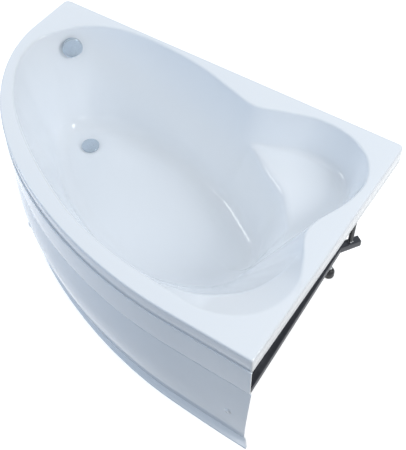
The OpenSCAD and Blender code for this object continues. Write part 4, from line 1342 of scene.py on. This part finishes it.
class NodeTree(Wiring):
    """Geometry Nodes group with a Geometry input and output and named inputs for its sizes."""

    KINDS = {float: "NodeSocketFloat", int: "NodeSocketInt", bpy.types.Material: "NodeSocketMaterial"}

    def __init__(self, name: str, sizes: dict[str, float | int | bpy.types.Material]) -> None:
        """Starts the group.

        Args:
            name: The group's name.
            sizes: Input names and their default values.
        """
        super().__init__(bpy.data.node_groups.new(name, "GeometryNodeTree"))
        add = self.tree.interface.new_socket
        add("Geometry", in_out="INPUT", socket_type="NodeSocketGeometry")
        self.keys: dict[str, str] = {}
        for key, value in sizes.items():
            made = add(key, in_out="INPUT", socket_type=self.KINDS[type(value)])
            made.default_value = value
            self.keys[key] = made.identifier
        add("Geometry", in_out="OUTPUT", socket_type="NodeSocketGeometry")
        self.inputs = self.tree.nodes.new("NodeGroupInput").outputs
        self.result = self.tree.nodes.new("NodeGroupOutput").inputs["Geometry"]

    def size(self, name: str) -> Value:
        """One of the group's inputs."""
        return Value(self.tree, self.inputs[name])

    def step(self, kind: str, settings: dict[str, object] | None = None,
             **inputs: object) -> bpy.types.bpy_prop_collection:
        """Adds a Geometry node by its short type name and returns its outputs."""
        return self.node(f"GeometryNode{kind}", settings, **inputs).outputs

    def finish(self, geometry: bpy.types.NodeSocket) -> None:
        """Sets the material of the geometry and makes it the group's result."""
        dressed = self.step("SetMaterial", Geometry=geometry, Material=self.size("Finish"))
        self.tree.links.new(dressed[0], self.result)

    def apply(self, made: bpy.types.Object, **sizes: float) -> None:
        """Runs the group on an object and keeps the result as its mesh.

        Args:
            made: The object.
            sizes: Values by input name.
        """
        materials = list(made.data.materials)
        modifier = made.modifiers.new("nodes", "NODES")
        modifier.node_group = self.tree
        for key, value in sizes.items():
            modifier[self.keys[key]] = value
        Maker.bake(made)
        for index, material in enumerate(materials):
            if index < len(made.data.materials):
                made.data.materials[index] = material
            else:
                made.data.materials.append(material)


class ThreadWinder(NodeTree):
    """Winds a screw thread upward from each loose vertex of a mesh."""

    def __init__(self, material: bpy.types.Material) -> None:
        """Builds the group.

        Args:
            material: Finish of the threads.
        """
        super().__init__("thread_winder", {"Radius": 0.006, "Pitch": 0.00175, "Length": 0.1, "Share": 0.49,
                                           "Steps": 22, "Finish": material})
        half = self.size("Pitch") * self.size("Share")
        axis = self.size("Radius") - half
        helix = self.step("CurveSpiral", Resolution=self.size("Steps"), Start_Radius=axis, End_Radius=axis,
                          Rotations=self.size("Length") / self.size("Pitch"), Height=self.size("Length"))
        upright = self.step("SetCurveNormal", {"mode": "Z_UP"}, Curve=helix[0])
        ridge = self.step("CurvePrimitiveCircle", {"mode": "RADIUS"}, Resolution=4, Radius=half)
        wound = self.step("CurveToMesh", Curve=upright[0], Profile_Curve=ridge[0], Fill_Caps=True)
        flat = self.step("SetShadeSmooth", Geometry=wound[0], Shade_Smooth=False)
        loose = self.node("FunctionNodeCompare", {"data_type": "INT", "operation": "EQUAL"},
                          A=self.step("InputMeshVertexNeighbors")["Vertex Count"], B=0)
        parts = self.step("SeparateGeometry", {"domain": "POINT"}, Geometry=self.size("Geometry"),
                          Selection=loose.outputs[0])
        placed = self.step("InstanceOnPoints", Points=parts[0], Instance=flat[0])
        real = self.step("RealizeInstances", Geometry=placed[0])
        join = self.node("GeometryNodeJoinGeometry")
        for source in (real[0], parts[1]):
            self.tree.links.new(source, join.inputs[0])
        self.finish(join.outputs[0])


class BeadLayer(NodeTree):
    """Lays a rippled weld bead along each edge chain of a mesh."""

    def __init__(self, material: bpy.types.Material) -> None:
        """Builds the group.

        Args:
            material: Finish of the welds.
        """
        super().__init__("bead_layer", {"Radius": 0.0022, "Spacing": 0.0016, "Uneven": 0.18, "Seed": 4,
                                        "Finish": material})
        curve = self.step("MeshToCurve", Mesh=self.size("Geometry"))
        points = self.step("CurveToPoints", {"mode": "LENGTH"}, Curve=curve[0], Length=self.size("Spacing"))
        drop = self.step("MeshUVSphere", Segments=12, Rings=8, Radius=self.size("Radius"))
        spread = self.node("FunctionNodeRandomValue", {"data_type": "FLOAT"}, Min=1.0 - self.size("Uneven"), Max=1.0,
                           Seed=self.size("Seed"))
        placed = self.step("InstanceOnPoints", Points=points[0], Instance=drop[0],
                           Scale=next(s for s in spread.outputs if s.enabled))
        real = self.step("RealizeInstances", Geometry=placed[0])
        self.finish(self.step("SetShadeSmooth", Geometry=real[0])[0])


@dataclass
class ThreadedStuds(Part):
    """Studs of the levelling feet and of the posts, with wound threads."""

    radius: float = 6.0
    pitch: float = 1.75
    chamfer: float = 0.8
    foot_bottom: float = 28.0
    foot_top: float = 148.0
    hex_bottom: float = 46.0
    hex_height: float = 8.0
    hex_across: float = 22.0
    hex_chamfer: float = 0.9
    faces: int = 32
    post_bottom: float = 79.0
    post_top: float = 153.0
    feet: tuple[tuple[float, float], ...] = ((-80.01, -930.0), (-102.89, -248.0), (-640.0, -860.0),
                                             (-640.0, -175.0), (-1089.94, -688.4), (-1400.0, -65.8))
    posts: tuple[tuple[float, float], ...] = ((-75.92, -147.72), (-81.01, -900.0), (-640.0, -935.47),
                                              (-1089.94, -760.41), (-1463.95, -46.39))

    def bolt(self, winder: ThreadWinder, name: str, centres: Sequence[tuple[float, float]], bottom: float,
             top: float, headed: bool, body: str, node: str) -> None:
        """Builds upright studs as one piece in place of a CAD node.

        Args:
            winder: Node group that winds the threads.
            name: Name of the piece.
            centres: Plan points of the studs.
            bottom: Height of their lower ends.
            top: Height of their upper ends.
            headed: Whether they carry a hexagon.
            body: The body that they ride on.
            node: The CAD node.
        """
        core, c, e = self.radius - 0.5 * self.pitch, self.chamfer, self.hex_chamfer
        r, low, high = self.hex_across / 2, self.hex_bottom, self.hex_bottom + self.hex_height
        shapes = [lathe([(0.0, bottom), (core - c, bottom), (core, bottom + c), (core, top - c), (core - c, top),
                         (0.0, top)], self.faces), ([(0.0, 0.0, bottom + self.pitch)], [])]
        if headed:
            shapes.append(lathe([(0.0, low), (r - e, low), (r, low + 0.5 * e), (r, high - 0.5 * e), (r - e, high),
                                 (0.0, high)], 6))
        points: Loop = []
        faces: list[list[int]] = []
        for x, y in centres:
            for shape, skins in shapes:
                faces += [[len(points) + k for k in face] for face in skins]
                points += [(x + p[0], y + p[1], p[2]) for p in shape]
        made = self.maker.piece(name, points, faces, Slot.ZINC)
        winder.apply(made, Radius=self.radius * MM, Pitch=self.pitch * MM,
                     Length=(top - bottom - 2 * self.pitch) * MM)
        made.data.set_sharp_from_angle(angle=SHARP)
        self.maker.register(made, Slot.ZINC, body, node)

    def build(self) -> None:
        """Builds one piece for each foot and one for all posts."""
        winder = ThreadWinder(self.maker.book.materials[Slot.ZINC])
        for index, centre in enumerate(self.feet, 1):
            self.bolt(winder, f"levelling_thread_{index}", [centre], self.foot_bottom, self.foot_top, True,
                      FOOT_BODIES[f"foot_{index}"], f"foot_stud_{index}")
        self.bolt(winder, "post_threads", self.posts, self.post_bottom, self.post_top, False, ROOT, "post_studs")


@dataclass
class SoftenedNodes(Part):
    """CAD nodes whose sharp edges get the small radius that the real pieces have."""

    groups: tuple[tuple[Slot, float, str], ...] = (
        (Slot.FRAME, 1.6, "cross_rail_left cross_rail_middle back_rail_left back_rail_right front_rail_left "
                          "front_rail_right side_rail diagonal_rail corner_arm"),
        (Slot.FRAME, 0.7, "panel_bracket_right panel_bracket_left"), (Slot.FRAME, 0.6, "board_tabs"),
        (Slot.FRAME, 0.8, "strut_head"), (Slot.BLACK, 1.2, "tube_caps"), (Slot.POST, 0.6, "rim_posts"),
        (Slot.POST, 0.8, "corner_strut"), (Slot.RUBBER, 1.0, "rim_blocks"), (Slot.ZINC, 0.7, "post_nuts foot_nuts"),
        (Slot.BOARD, 0.8, "base_board"), (Slot.GREY, 1.0, "waste_body overflow_body"), (Slot.GREY, 1.4, "trap_body"),
        (Slot.GREY, 0.8, "trap_nut"), (Slot.CHROME, 0.5, "waste_flange"), (Slot.CHROME, 0.6, "overflow_plate"),
        (Slot.CAP, 0.5, "panel_caps"), (Slot.BLACK, 0.9, "foot_1 foot_2 foot_3 foot_4 foot_5 foot_6"))
    bevelled_from: float = 38.0
    flat_below: float = 0.6
    smooth_below: float = 32.0

    def soften(self, node: str, slot: Slot, width: float) -> None:
        """Copies a CAD node, rounds its edges and puts the copy in its place.

        Args:
            node: The node's name.
            slot: Record slot of its finish.
            width: Width of the rounding.
        """
        source = self.maker.nodes[node]
        shape = bmesh.new()
        shape.from_mesh(source.data)
        shape.transform(source.matrix_world)
        bmesh.ops.remove_doubles(shape, verts=shape.verts, dist=TINY)
        bmesh.ops.dissolve_limit(shape, angle_limit=math.radians(self.flat_below), verts=shape.verts,
                                 edges=shape.edges)
        mesh = bpy.data.meshes.new(node + "_soft")
        shape.to_mesh(mesh)
        shape.free()
        made = self.maker.adopt(node + "_soft", mesh, slot)
        bevel = made.modifiers.new("bevel", "BEVEL")
        bevel.width = width * MM
        bevel.segments = 3
        bevel.limit_method = "ANGLE"
        bevel.angle_limit = math.radians(self.bevelled_from)
        bevel.use_clamp_overlap = True
        self.maker.bake(made)
        made.data.set_sharp_from_angle(angle=math.radians(self.smooth_below))
        self.maker.register(made, slot, FOOT_BODIES.get(node, ROOT), node)

    def build(self) -> None:
        """Softens every listed node."""
        for slot, width, nodes in self.groups:
            for node in nodes.split():
                self.soften(node, slot, width)


@dataclass
class PlainNodes(Part):
    """CAD nodes that are kept as they are and only get their finish."""

    groups: tuple[tuple[Slot, str], ...] = (
        (Slot.ZINC, "panel_screws board_screws"), (Slot.RUBBER, "waste_gasket plug_seal overflow_gasket"),
        (Slot.PIPE, "overflow_pipe outlet_pipe"), (Slot.CABLE, "pull_cable"))

    def build(self) -> None:
        """Dresses every listed node."""
        for slot, nodes in self.groups:
            for node in nodes.split():
                materials = self.maker.nodes[node].data.materials
                materials.clear()
                materials.append(self.maker.book.materials[slot])
                LOG.info("%s: dressed as %s", node, slot.value)


@dataclass
class WeldBeads(Part):
    """Rippled beads where the rails of the frame meet."""

    top: float = 123.0
    tube: float = 30.0
    bead: float = 2.0
    joints: tuple[tuple[float, float, float], ...] = (
        (-1089.94, -270.0, 1.0), (-640.0, -270.0, -1.0), (-640.0, -270.0, 1.0), (-1089.94, -600.0, 1.0),
        (-640.0, -600.0, -1.0), (-640.0, -600.0, 1.0))

    def build(self) -> None:
        """Lays a bead over the top and down both sides of each joint."""
        points: Loop = []
        edges: list[tuple[int, int]] = []
        half = self.tube / 2
        path = ((-half - 0.1, 2 - self.tube), (-half - 0.1, -1.0), (1 - half, 0.1), (half - 1, 0.1),
                (half + 0.1, -1.0), (half + 0.1, 2 - self.tube))
        for x, y, side in self.joints:
            edges += [(len(points) + i, len(points) + i + 1) for i in range(len(path) - 1)]
            points += [(x + side * (half + 0.2), y + across, self.top + up) for across, up in path]
        made = self.maker.piece("weld_beads", points, [], Slot.FRAME, edges)
        BeadLayer(self.maker.book.materials[Slot.FRAME]).apply(made, Radius=self.bead * MM)
        self.maker.register(made, Slot.FRAME)


@dataclass
class Studio:
    """Pale floor, soft light from above and the camera of the photograph."""

    azimuth: float = 35.31
    elevation: float = 52.194
    roll: float = -1.863
    lens: float = 64.472
    shift: tuple[float, float] = (-0.01444, -0.01467)
    place: tuple[float, float, float] = (1.2998, -1.4315, 2.6449)
    floor_size: float = 14.0
    floor_glow: float = 0.55
    sky: tuple[float, float, float] = (0.94, 1.0, 1.06)
    horizon: float = 0.08
    zenith: float = 0.64
    bright_from: float = 0.6

    def floor(self) -> None:
        """Lays a wide pale floor under the part."""
        s = self.floor_size / 2
        mesh = bpy.data.meshes.new("studio_floor")
        mesh.from_pydata([(-s, -s, 0), (s, -s, 0), (s, s, 0), (-s, s, 0)], [], [(0, 1, 2, 3)])
        painter = Painter("studio_floor")
        painter.put(painter.shader, Roughness=0.8, Emission_Color=(1.0, 1.0, 1.0, 1.0),
                    Emission_Strength=self.floor_glow,
                    Base_Color=painter.mix(painter.noise(0.6, 2.0), (0.94, 0.94, 0.94), (0.96, 0.96, 0.96)))
        mesh.materials.append(painter.material)
        made = linked("studio_floor", mesh)
        made.visible_diffuse = False

    def light(self, name: str, place: Sequence[float], size: float, power: float,
              color: Sequence[float] = (1.0, 1.0, 1.0), mirrored: bool = True) -> None:
        """Hangs a square area light that looks at the part.

        Args:
            name: The light's name.
            place: Its place in metres.
            size: Side length in metres.
            power: Watts.
            color: Tint.
            mirrored: Whether glossy surfaces show the light itself.
        """
        lamp = bpy.data.lights.new(name, "AREA")
        lamp.size = size
        lamp.energy = power
        lamp.color = color
        made = linked(name, lamp)
        made.location = place
        made.visible_glossy = mirrored
        made.rotation_euler = (Vector((0, 0, 0.3)) - Vector(place)).to_track_quat("-Z", "Y").to_euler()

    def camera(self) -> None:
        """Sets the camera to the photograph's place, direction, roll and lens."""
        a, e, r = (math.radians(v) for v in (self.azimuth, self.elevation, self.roll))
        back = Vector((math.sin(a) * math.cos(e), -math.cos(a) * math.cos(e), math.sin(e)))
        right = (-back).cross(Vector((0, 0, 1))).normalized()
        up = right.cross(-back)
        across = right * math.cos(r) + up * math.sin(r)
        along = up * math.cos(r) - right * math.sin(r)
        data = bpy.data.cameras.new("camera")
        data.lens = self.lens
        data.sensor_width = 36.0
        data.sensor_fit = "AUTO"
        data.shift_x, data.shift_y = self.shift
        data.clip_end = 60.0
        made = linked("camera", data)
        made.matrix_world = Matrix.Translation(self.place) @ Matrix((across, along, back)).transposed().to_4x4()
        bpy.context.scene.camera = made

    def build(self) -> None:
        """Sets up floor, world, lights and camera."""
        self.floor()
        world = bpy.data.worlds.new("studio")
        world.use_nodes = True
        tree = world.node_tree
        background = next(n for n in tree.nodes if n.type == "BACKGROUND")
        background.inputs["Color"].default_value = (*self.sky, 1.0)
        axes = tree.nodes.new("ShaderNodeSeparateXYZ")
        tree.links.new(tree.nodes.new("ShaderNodeTexCoord").outputs["Generated"], axes.inputs[0])
        height = Value(tree, axes.outputs["Z"]).step(0.0, self.bright_from)
        tree.links.new((height * (self.zenith - self.horizon) + self.horizon).socket, background.inputs["Strength"])
        bpy.context.scene.world = world
        self.light("overhead", (-1.5, -0.3, 5.0), 1.0, 6.0)
        self.light("key", (4.4, 0.7, 3.5), 2.0, 100.0)
        self.light("glint", (-3.6, -1.2, 2.6), 1.0, 14.0)
        self.light("left_fill", (-2.4, -3.8, 1.1), 1.8, 18.0, (0.2, 0.76, 1.6), False)
        self.light("back_fill", (-4.0, 3.4, 2.9), 1.8, 62.0, (0.92, 0.98, 1.08), False)
        bpy.context.scene.view_settings.view_transform = "Standard"
        self.camera()


def main() -> None:
    """Builds the part, dresses it and sets up the studio."""
    logging.basicConfig(level=logging.INFO, format="%(message)s")
    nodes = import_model()["nodes"]
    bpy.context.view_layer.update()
    maker = Maker(BathPlan(), nodes)
    TubShell(maker).build()
    panel = ApronPanel(maker)
    PanelFixings(maker).build(panel, panel.build())
    for kind in (OverflowKnob, Plug, SoftenedNodes, ThreadedStuds, WeldBeads, PlainNodes):
        kind(maker).build()
    Studio().build()


if __name__ == "__main__":
    main()
